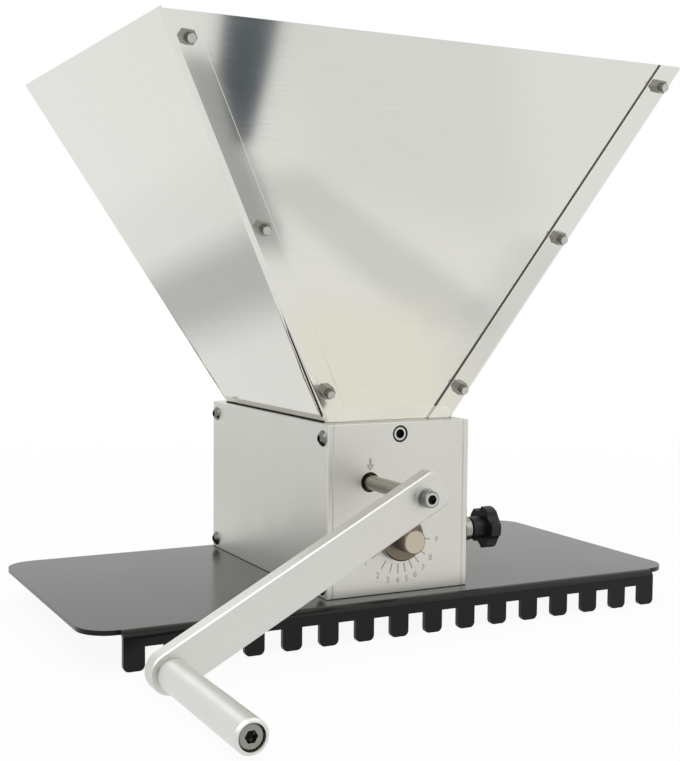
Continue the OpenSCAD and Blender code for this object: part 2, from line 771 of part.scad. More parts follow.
// Front panel: slope, and a skirt that goes down inside the end plate
module end_panel() {
    half_low = throat_x - sheet_x - pass_gap;
    half_high = mouth_x - sheet_x - pass_gap;
    skirt_half = throat_x - sheet_t - pass_gap;
    difference() {
        union() {
            on_slope(throat_y, lean_y) translate([0, 0, -sheet_t]) linear_extrude(sheet_t)
                slope_outline(half_low, half_high, slant_y);
            translate([-skirt_half, -throat_y, body_top - skirt_h])
                cube([2 * skirt_half, sheet_t, skirt_h + sheet_t * sin(lean_y)]);
        }
        corner_bolt_holes();
        translate([0, 0, fixing_z]) y_rod(screw_d + 2 * hole_fit, -throat_y - 1, -throat_y + sheet_t + 1);
    }
}

module hopper_front_panel() {
    color("#d8d8d4") end_panel();
}

module hopper_rear_panel() {
    color("#d8d8d4") rotate([0, 0, 180]) end_panel();
}

// Corner flange on the front slope, lying over the front panel
module corner_flange(side) {
    on_slope(throat_y, lean_y) translate([0, 0, layer - sheet_t]) linear_extrude(sheet_t) polygon([
        [side * corner_x(flange_foot), flange_foot], [side * mouth_x, slant_y],
        [side * (mouth_x - corner_flange_w), slant_y],
        [side * (corner_x(flange_foot) - corner_flange_w), flange_foot]
    ]);
}

// Skirt and grain guide of the left panel, seen along Y
module guide_outline() {
    turn = sheet_t * tan(22.5);
    run = guide_l / sqrt(2);
    lip = sheet_t / sqrt(2);
    knee = body_top + sheet_t * sin(lean_x);
    translate([-throat_x, 0]) polygon([
        [0, knee], [0, guide_top], [run, guide_top - run], [run + lip, guide_top - run + lip],
        [sheet_t, guide_top + turn], [sheet_t, knee]
    ]);
}

// Left panel: slope with a flange folded round each corner, skirt and grain guide
module side_panel() {
    guide_half = throat_y - sheet_t - pass_gap;
    low = throat_y + flange_step;
    high = mouth_y + flange_step;
    difference() {
        union() {
            on_left_slope() translate([0, 0, -sheet_t]) linear_extrude(sheet_t)
                slope_outline(low, high, slant_x);
            for (turn = [0, 1]) mirror([0, turn, 0]) corner_flange(-1);
            translate([0, guide_half, 0]) rotate([90, 0, 0]) linear_extrude(2 * guide_half) guide_outline();
        }
        for (turn = [0, 1]) mirror([0, turn, 0]) {
            corner_bolt_holes();
            fold_slit();
            fold_rounding();
        }
    }
}

// Half width of the flat of the left slope at a distance up it, inside the corner bend
function bend_y(v) = throat_y + flange_step - corner_fold_r + (mouth_y - throat_y) * v / slant_x;

// Slit beside a corner fold: widest in its lower third, and closed at both ends
module fold_slit() {
    belly = fold_slit_foot + (fold_slit_top - fold_slit_foot) / 3;
    on_left_slope() translate([0, 0, -2 * sheet_t]) linear_extrude(3 * sheet_t) polygon([
        [bend_y(fold_slit_foot) - fold_slit_w / 2, fold_slit_foot], [bend_y(fold_slit_foot), fold_slit_foot],
        [bend_y(fold_slit_top), fold_slit_top], [bend_y(belly) - fold_slit_w, belly]
    ]);
}

// What a bend takes off the sharp corner between the left slope and its front flange
module fold_rounding() {
    left_out = [-cos(lean_x), 0, -sin(lean_x)];
    front_out = [0, -cos(lean_y), -sin(lean_y)];
    rise = [throat_x - mouth_x, throat_y - mouth_y, hopper_h];
    out = (left_out + front_out) / norm(left_out + front_out);
    up = rise / norm(rise);
    across = cross(up, out);
    foot = [-throat_x, -throat_y - flange_step, body_top];
    half_turn = acos(left_out * front_out) / 2;
    centre = -corner_fold_r / cos(half_turn) - eps;
    half_w = corner_fold_r * sin(half_turn);
    chord = centre + corner_fold_r * cos(half_turn);
    multmatrix([for (i = [0 : 2]) [out[i], across[i], up[i], foot[i]]])
        translate([0, 0, -1]) linear_extrude(norm(rise) + 2) difference() {
            translate([chord, -half_w]) square([1 - chord, 2 * half_w]);
            translate([centre, 0]) circle(r = corner_fold_r);
        }
}

module hopper_left_panel() {
    color("#d2d2ce") side_panel();
}

module hopper_right_panel() {
    color("#d2d2ce") mirror([1, 0, 0]) side_panel();
}

// Corner bolts with their heads inside the hopper and their nuts outside
module hopper_corner_bolts() {
    grip_stack = sheet_t + layer;
    tail = small_screw_d * 0.7;
    color("#8d8d8a") for (turn = [0, 180]) rotate([0, 0, turn]) corner_bolt_places()
        translate([0, 0, -sheet_t]) rotate([180, 0, 0])
            button_screw(small_screw_d, small_head_d, small_head_h,
                grip_stack + small_nut_h + tail, small_screw_d * 0.6);
}

module hopper_corner_nuts() {
    color("#8d8d8a") for (turn = [0, 180]) rotate([0, 0, turn]) corner_bolt_places()
        translate([0, 0, layer]) hex_nut(small_nut_af, small_nut_h, small_screw_d + 2 * seat_fit);
}

// Socket screws through the end plates that hold the hopper's skirts
module fixing_screw_places() {
    for (turn = [0, 180]) rotate([0, 0, turn]) translate([0, 0, fixing_z]) children();
}

module hopper_fixing_screws() {
    seat_y = front + screw_d + hole_fit;
    reach = -throat_y + sheet_t + fixing_nut_h - seat_y;
    color("#8d8d8a") fixing_screw_places() translate([0, seat_y, 0]) rotate([90, 0, 0])
        socket_screw(screw_d, screw_head_d, screw_d, reach, socket_af);
}

module hopper_fixing_nuts() {
    color("#8d8d8a") fixing_screw_places() translate([0, -throat_y + sheet_t, 0]) rotate([-90, 0, 0])
        hex_nut(screw_head_d, fixing_nut_h, screw_d + 2 * seat_fit);
}

base_plate();
base_screws();
front_end_plate();
rear_end_plate();
left_side_plate();
right_side_plate();
side_plate_screws();
drive_shaft();
drive_roller();
drive_front_bush();
drive_rear_bush();
idler_shaft();
idler_roller();
idler_front_bush();
idler_rear_bush();
eccentric_axle();
lower_roller();
lower_front_bush();
lower_rear_bush();
gap_dial();
dial_grub_screw();
lock_knob();
lock_stud();
lock_collar();
crank_arm();
crank_washer();
crank_screw();
grip();
grip_bolt();
grip_washer();
hopper_front_panel();
hopper_rear_panel();
hopper_left_panel();
hopper_right_panel();
hopper_corner_bolts();
hopper_corner_nuts();
hopper_fixing_screws();
hopper_fixing_nuts();
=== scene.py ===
"""Finishes, printed marks, small trim and a studio for the malt mill's solids."""

import math
from collections import namedtuple
from functools import partial

import bmesh
import bpy
from mathutils import Matrix, Vector


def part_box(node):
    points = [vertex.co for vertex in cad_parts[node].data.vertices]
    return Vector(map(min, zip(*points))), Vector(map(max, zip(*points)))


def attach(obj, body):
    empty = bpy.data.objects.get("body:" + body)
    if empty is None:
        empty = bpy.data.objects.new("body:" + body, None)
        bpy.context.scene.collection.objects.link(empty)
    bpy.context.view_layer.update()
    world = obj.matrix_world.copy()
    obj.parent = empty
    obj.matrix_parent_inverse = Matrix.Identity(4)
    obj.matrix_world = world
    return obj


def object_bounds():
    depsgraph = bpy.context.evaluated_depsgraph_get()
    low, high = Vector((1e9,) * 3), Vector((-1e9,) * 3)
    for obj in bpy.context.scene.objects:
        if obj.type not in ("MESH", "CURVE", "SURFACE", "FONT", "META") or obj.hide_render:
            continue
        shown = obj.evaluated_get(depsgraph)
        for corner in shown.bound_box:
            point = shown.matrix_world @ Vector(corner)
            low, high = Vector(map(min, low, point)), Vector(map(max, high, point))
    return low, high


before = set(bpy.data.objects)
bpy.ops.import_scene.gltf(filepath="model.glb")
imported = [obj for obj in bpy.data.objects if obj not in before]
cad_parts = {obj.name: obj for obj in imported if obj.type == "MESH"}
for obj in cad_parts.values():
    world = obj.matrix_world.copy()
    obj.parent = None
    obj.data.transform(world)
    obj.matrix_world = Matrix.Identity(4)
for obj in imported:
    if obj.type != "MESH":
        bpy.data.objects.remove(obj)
CAD_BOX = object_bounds()

bl_info = {
    "name": "Malt mill finishes",
    "version": (1, 0, 0),
    "blender": (4, 5, 0),
    "location": "3D View > Sidebar > Malt mill",
    "description": "Finishes, printed marks, small trim and a studio for the malt mill",
    "category": "Object",
}

MM = 0.001

# Limits for finding points and faces on the solids
WELD = 0.001 * MM           # points nearer than this are one point
LEVEL_DEPTH = 0.1 * MM      # points of one foot or rim lie within this height
FACE_DEPTH = 0.05 * MM      # points of one front lie within this depth
FLOOR_DEPTH = 0.02 * MM     # points of one socket's floor lie within this depth
SOCKET_LEAST = 0.6 * MM     # a socket is at least this deep
SOCKET_REACH = 0.6          # a socket lies within this share of its head's radius
DOWNWARD = -0.05            # the normal of a face that looks down has a lower z than this
PARALLEL = 0.9999           # the dot product of two parallel normals is over this

# Shapes of the small trim
ROUND_SIDES = 24            # sides of a painted highlight ring, of a plug of painted socket shade and of the dial's face
HIGHLIGHT_INNER = 1.04           # inner radius of a painted highlight ring, as a share of its socket's
SOCKET_SHADE_SHARE = 0.84          # radius of a plug of painted socket shade, as a share of its socket's
THREAD_STEPS = 18           # steps in one turn of a thread
THREAD_FOOT = 0.42          # half of the width of a thread's foot, as a share of its pitch
THREAD_ROOT = 0.05 * MM     # how far a thread's foot lies inside its bolt
NUT_CLEARANCE = 0.3 * MM    # from a nut to the start of a thread
TIP_CLEARANCE = 0.4 * MM    # from the end of a thread to its bolt's tip
BURR_SIDES = 8              # sides of a burr
BURR_INSET = 0.5            # how far a burr's middle lies inside the sheet, as a share of its radius
EDGE_LAP = 0.1              # how far a cut face goes into the sheet, as a share of its thickness
DIGIT_SHARE = 0.7           # height of a digit, as a share of its font's size
ARROW_HEAD = 0.5            # height of the arrow's head, as a share of the arrow's
ARROW_STEM = 0.3            # width of the arrow's stem, as a share of its head's
ARROW_TIP_LINES = 1.9       # height of the closed tip of the head, in widths of its line
ARROW_SIDE_LINES = 2.0      # level width of the head's sloping sides, in widths of its line

# Stage, with its lengths in metres
PAPER_RADIUS = 6.0
PAPER_SIDES = 96
PAPER_NEAR = 0.35           # distance from the middle at which the paper starts to turn plain white
PAPER_FAR = 1.3             # distance from the middle at which it is plain white
PAPER_PLAIN = 0.93          # share of plain white near the mill, where the paper keeps the shadow
LAMP_AIM = (0.0, -0.05, 0.14)
SENSOR_MM = 36.0
NEAREST_SEEN = 0.01
FARTHEST_SEEN = 50.0

# Lamps: name, property that holds its power, diameter and place
LAMPS = (
    ("key_light", "key_watts", 2.2, (-1.1, -1.2, 1.7)),
    ("fill_light", "fill_watts", 2.0, (1.1, -1.45, 1.3)),
    ("top_light", "fill_watts", 1.8, (0.1, 0.7, 1.9)),
    ("rear_light", "rear_watts", 1.0, (-0.3, 2.0, 1.4)),
)

# Glowing cards that only the mirrors see: they paint darker or warmer patches into reflections. The
# # lowest first: name, colour, opacity, how far it fades at its sides and at its ends, and its stops,
# each
# # with an x, a y and a width
CARDS = (
    ("front_haze_card", "#55565a", 0.09, (0.12, 0.2),
     ((0.62, -1.3, 0.3), (0.38, -0.72, 0.16))),
    ("rear_haze_card", "#55565a", 0.07, (0.2, 0.15),
     ((-0.12, 1.25, 0.3), (-0.28, 0.32, 0.3))),
    ("front_card", "#525c65", 1.0, (0.01, 0.04),
     ((0.38, -1.30, 0.08), (0.248, -0.99, 0.055), (0.183, -0.80, 0.01))),
    ("flange_card", "#45484a", 0.58, (0.015, 0.09),
     ((0.19, -1.0, 0.03), (0.122, -0.58, 0.03))),
    ("middle_card", "#45484a", 0.18, (0.05, 0.06),
     ((0.195, -0.68, 0.04), (0.27, -0.42, 0.06))),
    ("right_flange_card", "#55565a", 0.13, (0.04, 0.05),
     ((0.47, -0.55, 0.04), (0.313, -0.389, 0.03), (0.2, -0.27, 0.03))),
    ("warm_card", "#fffdf2", 1.0, (0.1, 0.1),
     ((0.15, -0.38, 0.06), (0.13, -0.25, 0.06))),
    ("rear_card", "#55565a", 0.4, (0.11, 0.08),
     ((-0.17, 0.86, 0.03), (-0.27, 0.44, 0.04))),
)

# Sockets of a colour mix, by number, because its sockets for numbers have the same names
MIX_SHARE, MIX_FROM, MIX_TO, MIXED = 0, 6, 7, 2

# Range in which most of a noise texture lies, and a wider one
MOST = {"From Min": 0.3, "From Max": 0.7}
NEARLY_ALL = {"From Min": 0.25, "From Max": 0.75}

WHITE = (1.0, 1.0, 1.0, 1.0)


def linear(hex_colour):
    """An sRGB hex colour as linear RGBA."""
    parts = [int(hex_colour[i:i + 2], 16) / 255 for i in (1, 3, 5)]
    return tuple(c / 12.92 if c <= 0.04045 else ((c + 0.055) / 1.055) ** 2.4 for c in parts) + (1.0,)


def shaded(base, share):
    """A linear colour made darker or lighter by a share."""
    return [min(1.0, c * share) for c in base[:3]] + [1.0]


def per_mm(size):
    """Texture scale at which one feature is that many millimetres, on coordinates in metres."""
    return 1.0 / (size * MM)


# Sizes and colours that a user would change

def length(label, text, mm):
    """A property for a length, with its default in millimetres."""
    return bpy.props.FloatProperty(
        name=label, description=text, default=mm * MM, unit="LENGTH", precision=5)


def angle(label, text, degrees):
    """A property for an angle, with its default in degrees."""
    return bpy.props.FloatProperty(
        name=label, description=text, default=math.radians(degrees), subtype="ANGLE")


def colour(label, text, hex_colour):
    """A property for a colour, with its default in sRGB hex."""
    return bpy.props.FloatVectorProperty(
        name=label, description=text, default=linear(hex_colour), subtype="COLOR",
        size=4, min=0.0, max=1.0)


def power(label, text, watts):
    """A property for a lamp's power, with its default in watts."""
    return bpy.props.FloatProperty(name=label, description=text, default=watts, unit="POWER")


class MaltMillMarks(bpy.types.PropertyGroup):
    """Sizes of the printed marks, of the painted highlights on the screws' faces and the painted shade
    in their sockets, and of the bolts' threads.
    """

    film: length("Ink film", "How far the printed marks stand off the plate", 0.06)
    tick_inner: length("Tick start", "Radius at which the dial's ticks start", 17.6)
    tick_outer: length("Tick end", "Radius at which the dial's ticks end", 23.8)
    tick_width: length("Tick width", "Width of one tick", 0.75)
    tick_count: bpy.props.IntProperty(
        name="Ticks", description="Number of ticks on the scale", default=9, min=3)
    tick_throw: bpy.props.FloatProperty(
        name="Tick step", description="Step of the sine of a tick's angle, as an eccentric spaces it",
        default=0.235, min=0.05, max=0.24)
    scale_angle: angle("Scale middle", "Angle of the middle tick, from the right towards the top", 282.0)
    number_radius: length("Number radius", "Radius of the middle of the numbers", 28.6)
    number_height: length("Number height", "Height of one number", 3.9)
    arrow_height: length("Arrow height", "Height of the arrow over the shaft", 8.0)
    arrow_width: length("Arrow width", "Width of the arrow's head", 5.6)
    arrow_rise: length("Arrow rise", "How far the arrow's tip is above the shaft's axis", 7.2)
    arrow_line: length("Arrow line", "Width of the line round the arrow's open head", 0.8)
    face_film: length("Face film", "How far a bright worn face stands off its screw or dial", 0.05)
    # The worn share sizes the ring of painted highlight on each cap screw's front
    face_share: bpy.props.FloatProperty(
        name="Worn share", description="Radius of a cap screw's worn face, as a share of its head's",
        default=0.95, min=0.5, max=1.0)
    # Depth of the dark plugs that paint the shade in the screws' sockets
    socket_shade_depth: length("Grime depth", "Depth of the dirt in the screws' sockets", 0.3)
    thread_pitch: length("Thread pitch", "Pitch of the corner bolts' threads", 0.8)
    thread_rise: length("Thread height", "How far a thread's crest stands off the bolt", 0.16)
    bolt_diameter: length("Bolt diameter", "Diameter of the corner bolts", 5.0)


class MaltMillSheet(bpy.types.PropertyGroup):
    """Sizes of the hopper's cut edges and of the black strips at its foot."""

    thickness: length("Sheet thickness", "Thickness of the hopper's sheet", 1.5)
    burr_radius: length("Burr radius", "Radius of the bright burr along a cut edge", 0.2)
    edge_start: length("Cut edge start", "How far up from its foot a flange's edge stands free", 9.0)
    edge_film: length("Cut edge film", "How far the dull cut face stands off the sheet's edge", 0.08)
    # Sizes of the black strips in the gaps at the hopper's foot
    strip_depth: length("Seal depth", "How far a seal goes down into its gap", 1.0)
    strip_height: length("Seal height", "How far a seal stands up out of its gap", 1.0)
    strip_play: length("Seal play", "Gap between a seal and the metal on either side of it", 0.03)


class MaltMillColours(bpy.types.PropertyGroup):
    """Base colours of the finishes."""

    sheet: colour("Hopper sheet", "Rolled stainless sheet of the hopper", "#dddcd6")
    cut_edge: colour("Cut edges", "Dull cut edges of the hopper's sheet", "#6c6b66")
    burr: colour("Burrs", "Bright burrs along the cut edges", "#e6e6e2")
    # Colour of the black strips in the gaps at the hopper's foot
    foot_strip: colour("Seals", "Black rubber seals at the hopper's foot", "#0b0b0b")
    box: colour("Mill box", "Satin aluminium of the mill box", "#d1d0ca")
    arm: colour("Crank arm", "Satin aluminium of the crank arm", "#d3d2cd")
    grip: colour("Grip", "Turned aluminium of the grip", "#dadad6")
    dial: colour("Gap dial", "Tarnished brass of the gap dial", "#766e61")
    dial_face: colour("Dial face", "Bright turned face of the dial's knob", "#bfb6a7")
    shaft: colour("Shafts", "Ground steel of the shafts", "#97958a")
    roller: colour("Rollers", "Hardened steel of the rollers", "#77787a")
    bush: colour("Bushes", "Sintered bronze of the bushes", "#5e4a30")
    washer: colour("Washers", "Zinc plate of the crank's and the grip's washers", "#b4b4b1")
    plated_screw: colour("Plated screws", "Dark zinc plate of side plate and crank screws", "#7b7b77")
    # Colour of the painted highlight on the cap screws' fronts
    painted_highlight: colour("Worn faces", "Bright worn faces of the cap screws", "#cfcfca")
    # Colour of the painted shade in the screws' sockets
    socket_shade: colour("Grime", "Dirt in the screws' sockets", "#1d1a17")
    nut: colour("Nuts", "Dull steel of the nuts, grip bolt, lock stud and lock collar", "#95948d")
    thread: colour("Threads", "Shaded flanks of the bolts' threads", "#45443f")
    bolt: colour("Corner bolts", "Bright zinc plate of the hopper's corner bolts", "#c8c8c3")
    # On the fixing screws this dark colour also paints the shade round each head in its counterbore
    dark_screw: colour("Dark screws", "Blackened steel of the base, fixing and grub screws", "#2b2b2c")
    coat: colour("Base plate", "Black powder coat of the base plate", "#080807")
    # Malt dust on the base plate's top, which also paints a sheen that makes the top lighter
    dust_and_sheen: colour("Dust", "Malt dust that settles on the base plate", "#8a857c")
    knob: colour("Star knob", "Black moulded nylon of the star knob", "#0c0c0d")
    ink: colour("Ink", "Grey ink of the printed marks", "#8b8b81")


class MaltMillStage(bpy.types.PropertyGroup):
    """Camera, light and floor."""

    camera_place: bpy.props.FloatVectorProperty(
        name="Camera place", description="Where the camera stands", size=3,
        subtype="TRANSLATION", unit="LENGTH", default=(-0.40829, -0.80501, 0.19673))
    camera_yaw: angle("Camera yaw", "How far the camera looks to the right of the mill's rear", 27.228)
    camera_pitch: angle("Camera pitch", "How far the camera looks down", 3.940)
    camera_roll: angle("Camera roll", "How far the camera is turned about its own axis", 0.524)
    lens: bpy.props.FloatProperty(
        name="Lens", description="Focal length in millimetres on a 36 mm sensor",
        default=60.345, min=10.0)
    key_watts: power("Key light", "Power of the key light", 16.0)
    fill_watts: power("Fill light", "Power of the fill light, and of the top light", 8.0)
    rear_watts: power("Rear light", "Power of the small rear light", 1.0)
    world_strength: bpy.props.FloatProperty(
        name="Room light", description="Strength of the room's own light", default=0.6, min=0.0)
    card_step: length("Card step", "Height of each mirrored card over the one below it", 0.5)
    floor: colour("Floor", "White paper under the mill", "#f4f4f2")


# Shader building

def add(tree, kind, sockets=None, **settings):
    """One shader node with its settings, and its sockets set to values or linked."""
    made = tree.nodes.new("ShaderNode" + kind)
    for name, value in settings.items():
        setattr(made, name, value)
    for key, value in (sockets or {}).items():
        if isinstance(value, bpy.types.NodeSocket):
            tree.links.new(value, made.inputs[key])
        else:
            made.inputs[key].default_value = value
    return made


def blank(name):
    """A material with an empty node tree, and its texture coordinates in metres."""
    material = bpy.data.materials.new(name)
    material.use_nodes = True
    tree = material.node_tree
    tree.nodes.clear()
    return material, tree, add(tree, "TexCoord").outputs["Object"]


def close(tree, shader):
    """Ends a material's tree with its shader."""
    add(tree, "OutputMaterial", {"Surface": shader.outputs[0]})


def shown_plain(tree):
    """1 for what the camera, a mirror or glass looks at, and 0 for what only gives light."""
    path = add(tree, "LightPath").outputs
    seen = add(tree, "Math", {0: path["Is Camera Ray"], 1: path["Is Glossy Ray"]}, operation="MAXIMUM")
    shown = add(tree, "Math", {0: seen.outputs[0], 1: path["Is Transmission Ray"]}, operation="MAXIMUM")
    return shown.outputs[0]


def surface(tree, share, colours, relief, sockets):
    """Ends a material's tree with its shader. The colour goes from the first to the second by a share,
    and relief is a height, a strength and a depth in millimetres, or nothing."""
    shade = add(tree, "Mix", {MIX_SHARE: share, MIX_FROM: colours[0], MIX_TO: colours[1]},
                data_type="RGBA")
    shader = add(tree, "BsdfPrincipled", {"Base Color": shade.outputs[MIXED], **sockets})
    if relief:
        height, strength, depth = relief
        bump = add(tree, "Bump", {"Height": height, "Strength": strength, "Distance": depth * MM})
        tree.links.new(bump.outputs[0], shader.inputs["Normal"])
    close(tree, shader)


def rolled_stainless_sheet(name, base, wave_seed):
    """Cold-rolled stainless, half bright: it mirrors the room, with faint level rolling lines that blur
    the mirror image up and down, a handling haze, and a slightly wavy surface that bends it. The lines
    are drawn coarser than real ones, which wouldn't show."""
    material, tree, place = blank(name)
    level_lines = add(tree, "Mapping", {"Vector": place, "Scale": (0.02, 0.02, 1.0)}).outputs[0]
    streak = add(tree, "TexNoise", {
        "Vector": level_lines, "Scale": per_mm(0.6), "Detail": 1.0}).outputs[0]
    haze = add(tree, "TexNoise", {
        "Vector": place, "Scale": per_mm(70.0), "Detail": 3.0, "Roughness": 0.55}).outputs[0]
    wave = add(tree, "TexNoise", {
        "W": wave_seed, "Vector": place, "Scale": per_mm(130.0), "Detail": 1.0},
        noise_dimensions="4D").outputs[0]
    streak_rough = add(tree, "MapRange", {
        "Value": streak, **MOST, "To Min": 0.05, "To Max": 0.062}).outputs[0]
    rough = add(tree, "Math", {0: haze, 1: 0.04, 2: streak_rough}, operation="MULTIPLY_ADD").outputs[0]
    tint = add(tree, "MapRange", {"Value": streak, **NEARLY_ALL}).outputs[0]
    wavy = add(tree, "Bump", {"Height": wave, "Strength": 0.5, "Distance": 0.6 * MM}).outputs[0]
    fine = add(tree, "Bump", {
        "Height": streak, "Strength": 0.012, "Distance": 0.02 * MM, "Normal": wavy}).outputs[0]
    surface(tree, tint, (base, shaded(base, 0.97)), None, {
        "Metallic": 1.0, "Roughness": rough, "Normal": fine})
    return material


def sheared_edge(name, base, rough):
    """Sheared stainless edge: a fine uneven break, lighter and darker where the blade tore it."""
    material, tree, place = blank(name)
    breaks = add(tree, "TexNoise", {"Vector": place, "Scale": per_mm(0.6), "Detail": 2.0}).outputs[0]
    surface(tree, breaks, (base, shaded(base, 0.75)), (breaks, 0.2, 0.05), {
        "Metallic": 1.0, "Roughness": rough})
    return material


def painted_socket_shade(base):
    """Painted shade for the inside of a screw's socket: nearly black, rough and almost without a shine.
    """
    material, tree, place = blank("oil_and_dust_dried")
    lumps = add(tree, "TexNoise", {"Vector": place, "Scale": per_mm(0.5), "Detail": 3.0}).outputs[0]
    surface(tree, lumps, (base, shaded(base, 2.0)), (lumps, 0.4, 0.1), {
        "Roughness": 0.85, "Specular IOR Level": 0.2})
    return material


def matt_black_strip(base):
    """Black and matt, with a faint bloom: the finish of the strips at the hopper's foot."""
    material, tree, place = blank("rubber_extruded_black")
    bloom = add(tree, "TexNoise", {"Vector": place, "Scale": per_mm(6.0), "Detail": 3.0}).outputs[0]
    surface(tree, bloom, (base, shaded(base, 1.8)), None, {
        "Roughness": 0.75, "Specular IOR Level": 0.2})
    return material


def satin_aluminium(name, base, grain_mm, rough_low, rough_high):
    """Aluminium with a satin finish: a fine even grain and soft, broad highlights. The grain is drawn
    coarser than the real one, which wouldn't show."""
    material, tree, place = blank(name)
    grain = add(tree, "TexNoise", {
        "Vector": place, "Scale": per_mm(grain_mm), "Detail": 3.0}).outputs[0]
    cloud = add(tree, "TexNoise", {"Vector": place, "Scale": per_mm(35.0), "Detail": 3.0}).outputs[0]
    rough = add(tree, "MapRange", {
        "Value": cloud, **MOST, "To Min": rough_low, "To Max": rough_high}).outputs[0]
    tint = add(tree, "MapRange", {"Value": grain, **NEARLY_ALL}).outputs[0]
    surface(tree, tint, (base, shaded(base, 0.93)), (grain, 0.15, 0.05), {
        "Metallic": 1.0, "Roughness": rough})
    return material


def turned_metal(name, base, ring_mm, rough, axis, middle=None):
    """Metal turned on a lathe: close rings round the axis that break the highlight into fine lines. They
    lie along the axis, or about a middle point on a faced end, and are drawn coarser than real ones,
    which wouldn't show."""
    material, tree, place = blank(name)
    # A wave texture at a scale of 1 repeats at this distance
    wave_length = 2.0 * math.pi / 20.0
    sockets = {"Scale": per_mm(ring_mm) * wave_length,
               "Distortion": 0.6, "Detail": 2.0, "Detail Scale": 1.5}
    if middle is None:
        rings = add(tree, "TexWave", {"Vector": place, **sockets},
                    wave_type="BANDS", bands_direction=axis)
    else:
        about = add(tree, "Mapping", {"Vector": place, "Location": -middle})
        rings = add(tree, "TexWave", {"Vector": about.outputs[0], **sockets},
                    wave_type="RINGS", rings_direction=axis)
    ridge = rings.outputs[1]
    smudge = add(tree, "TexNoise", {"Vector": place, "Scale": per_mm(18.0), "Detail": 3.0}).outputs[0]
    uneven = add(tree, "MapRange", {
        "Value": smudge, **MOST, "To Min": rough - 0.05, "To Max": rough + 0.06}).outputs[0]
    surface(tree, ridge, (base, shaded(base, 0.93)), (ridge, 0.2, 0.04), {
        "Metallic": 1.0, "Roughness": uneven})
    return material


def plated_steel(name, base, rough):
    """Steel with a plated, blackened or worn skin, bright or dull, with the small unevenness of barrel
    work. The dimples are drawn coarser than real ones, which wouldn't show."""
    material, tree, place = blank(name)
    pitting = add(tree, "TexNoise", {"Vector": place, "Scale": per_mm(0.9), "Detail": 3.0}).outputs[0]
    uneven = add(tree, "MapRange", {
        "Value": pitting, **MOST, "To Min": rough - 0.06, "To Max": rough + 0.08}).outputs[0]
    surface(tree, pitting, (base, shaded(base, 0.8)), (pitting, 0.15, 0.05), {
        "Metallic": 1.0, "Roughness": uneven})
    return material


def black_powder_coat(base, dust_and_sheen):
    """Powder coat on steel: half-gloss black with a fine orange peel, which mirrors the room where it is
    seen edge on, and a thin light film on what faces up: malt dust, with a painted sheen that lightens
    it."""
    material, tree, place = blank("steel_powder_coat_black")
    peel = add(tree, "TexNoise", {"Vector": place, "Scale": per_mm(2.2), "Detail": 2.0}).outputs[0]
    drift = add(tree, "TexNoise", {"Vector": place, "Scale": per_mm(60.0), "Detail": 3.0}).outputs[0]
    facing = add(tree, "SeparateXYZ", {"Vector": add(tree, "NewGeometry").outputs["Normal"]})
    # What faces up gets a lighter film: malt dust, and also a painted sheen that makes the top lighter
    film = add(tree, "MapRange", {
        "Value": facing.outputs["Z"], "From Min": 0.6, "From Max": 1.0,
        "To Min": 0.0, "To Max": 0.12}).outputs[0]
    patchy = add(tree, "MapRange", {"Value": drift, **MOST, "To Min": 0.9, "To Max": 1.1}).outputs[0]
    dust_and_sheen_share = add(tree, "Math", {0: film, 1: patchy}, operation="MULTIPLY").outputs[0]
    uneven = add(tree, "MapRange", {"Value": drift, **MOST, "To Min": 0.16, "To Max": 0.2}).outputs[0]
    surface(tree, dust_and_sheen_share, (base, dust_and_sheen), (peel, 0.03, 0.05), {
        "Roughness": uneven, "Specular IOR Level": 0.2, "Sheen Weight": 0.08})
    return material


def moulded_nylon(base):
    """Glass-filled nylon from a mould: black, with a fine spark-eroded grain and a dull sheen. The grain
    is drawn coarser than the real one, which wouldn't show."""
    material, tree, place = blank("nylon_moulded_black")
    grain = add(tree, "TexVoronoi", {"Vector": place, "Scale": per_mm(0.8)}).outputs[0]
    uneven = add(tree, "MapRange", {"Value": grain, "To Min": 0.36, "To Max": 0.5}).outputs[0]
    surface(tree, grain, (base, shaded(base, 1.6)), (grain, 0.2, 0.06), {
        "Roughness": uneven, "Specular IOR Level": 0.3})
    return material


def sintered_bronze(base):
    """Oil-filled sintered bronze: brown, porous and half dull. The pores are drawn coarser than real
    ones, which wouldn't show."""
    material, tree, place = blank("bronze_sintered")
    pores = add(tree, "TexVoronoi", {"Vector": place, "Scale": per_mm(0.7)}).outputs[0]
    surface(tree, pores, (shaded(base, 0.55), base), (pores, 0.3, 0.08), {
        "Metallic": 1.0, "Roughness": 0.45})
    return material


def pad_print_ink(base):
    """Pad-printed ink: thin and matt, with the plate's grain showing through as small breaks."""
    material, tree, place = blank("ink_pad_printed_grey")
    breaks = add(tree, "TexNoise", {"Vector": place, "Scale": per_mm(0.6), "Detail": 3.0}).outputs[0]
    surface(tree, breaks, (base, shaded(base, 1.7)), None, {"Roughness": 0.6})
    return material


def studio_paper(base):
    """White paper under the mill: it keeps the shadow near the mill and runs out to plain white."""
    material, tree, place = blank("paper_white_matt")
    shown = shown_plain(tree)
    reach = add(tree, "VectorMath", {0: place}, operation="LENGTH")
    white = add(tree, "MapRange", {
        "Value": reach.outputs["Value"], "From Min": PAPER_NEAR, "From Max": PAPER_FAR,
        "To Min": PAPER_PLAIN, "To Max": 1.0}, interpolation_type="SMOOTHSTEP")
    part = add(tree, "Math", {0: white.outputs[0], 1: shown}, operation="MULTIPLY")
    lit = add(tree, "BsdfDiffuse", {"Color": base})
    plain = add(tree, "Emission", {"Color": WHITE, "Strength": 1.0})
    close(tree, add(tree, "MixShader", {0: part.outputs[0], 1: lit.outputs[0], 2: plain.outputs[0]}))
    return material


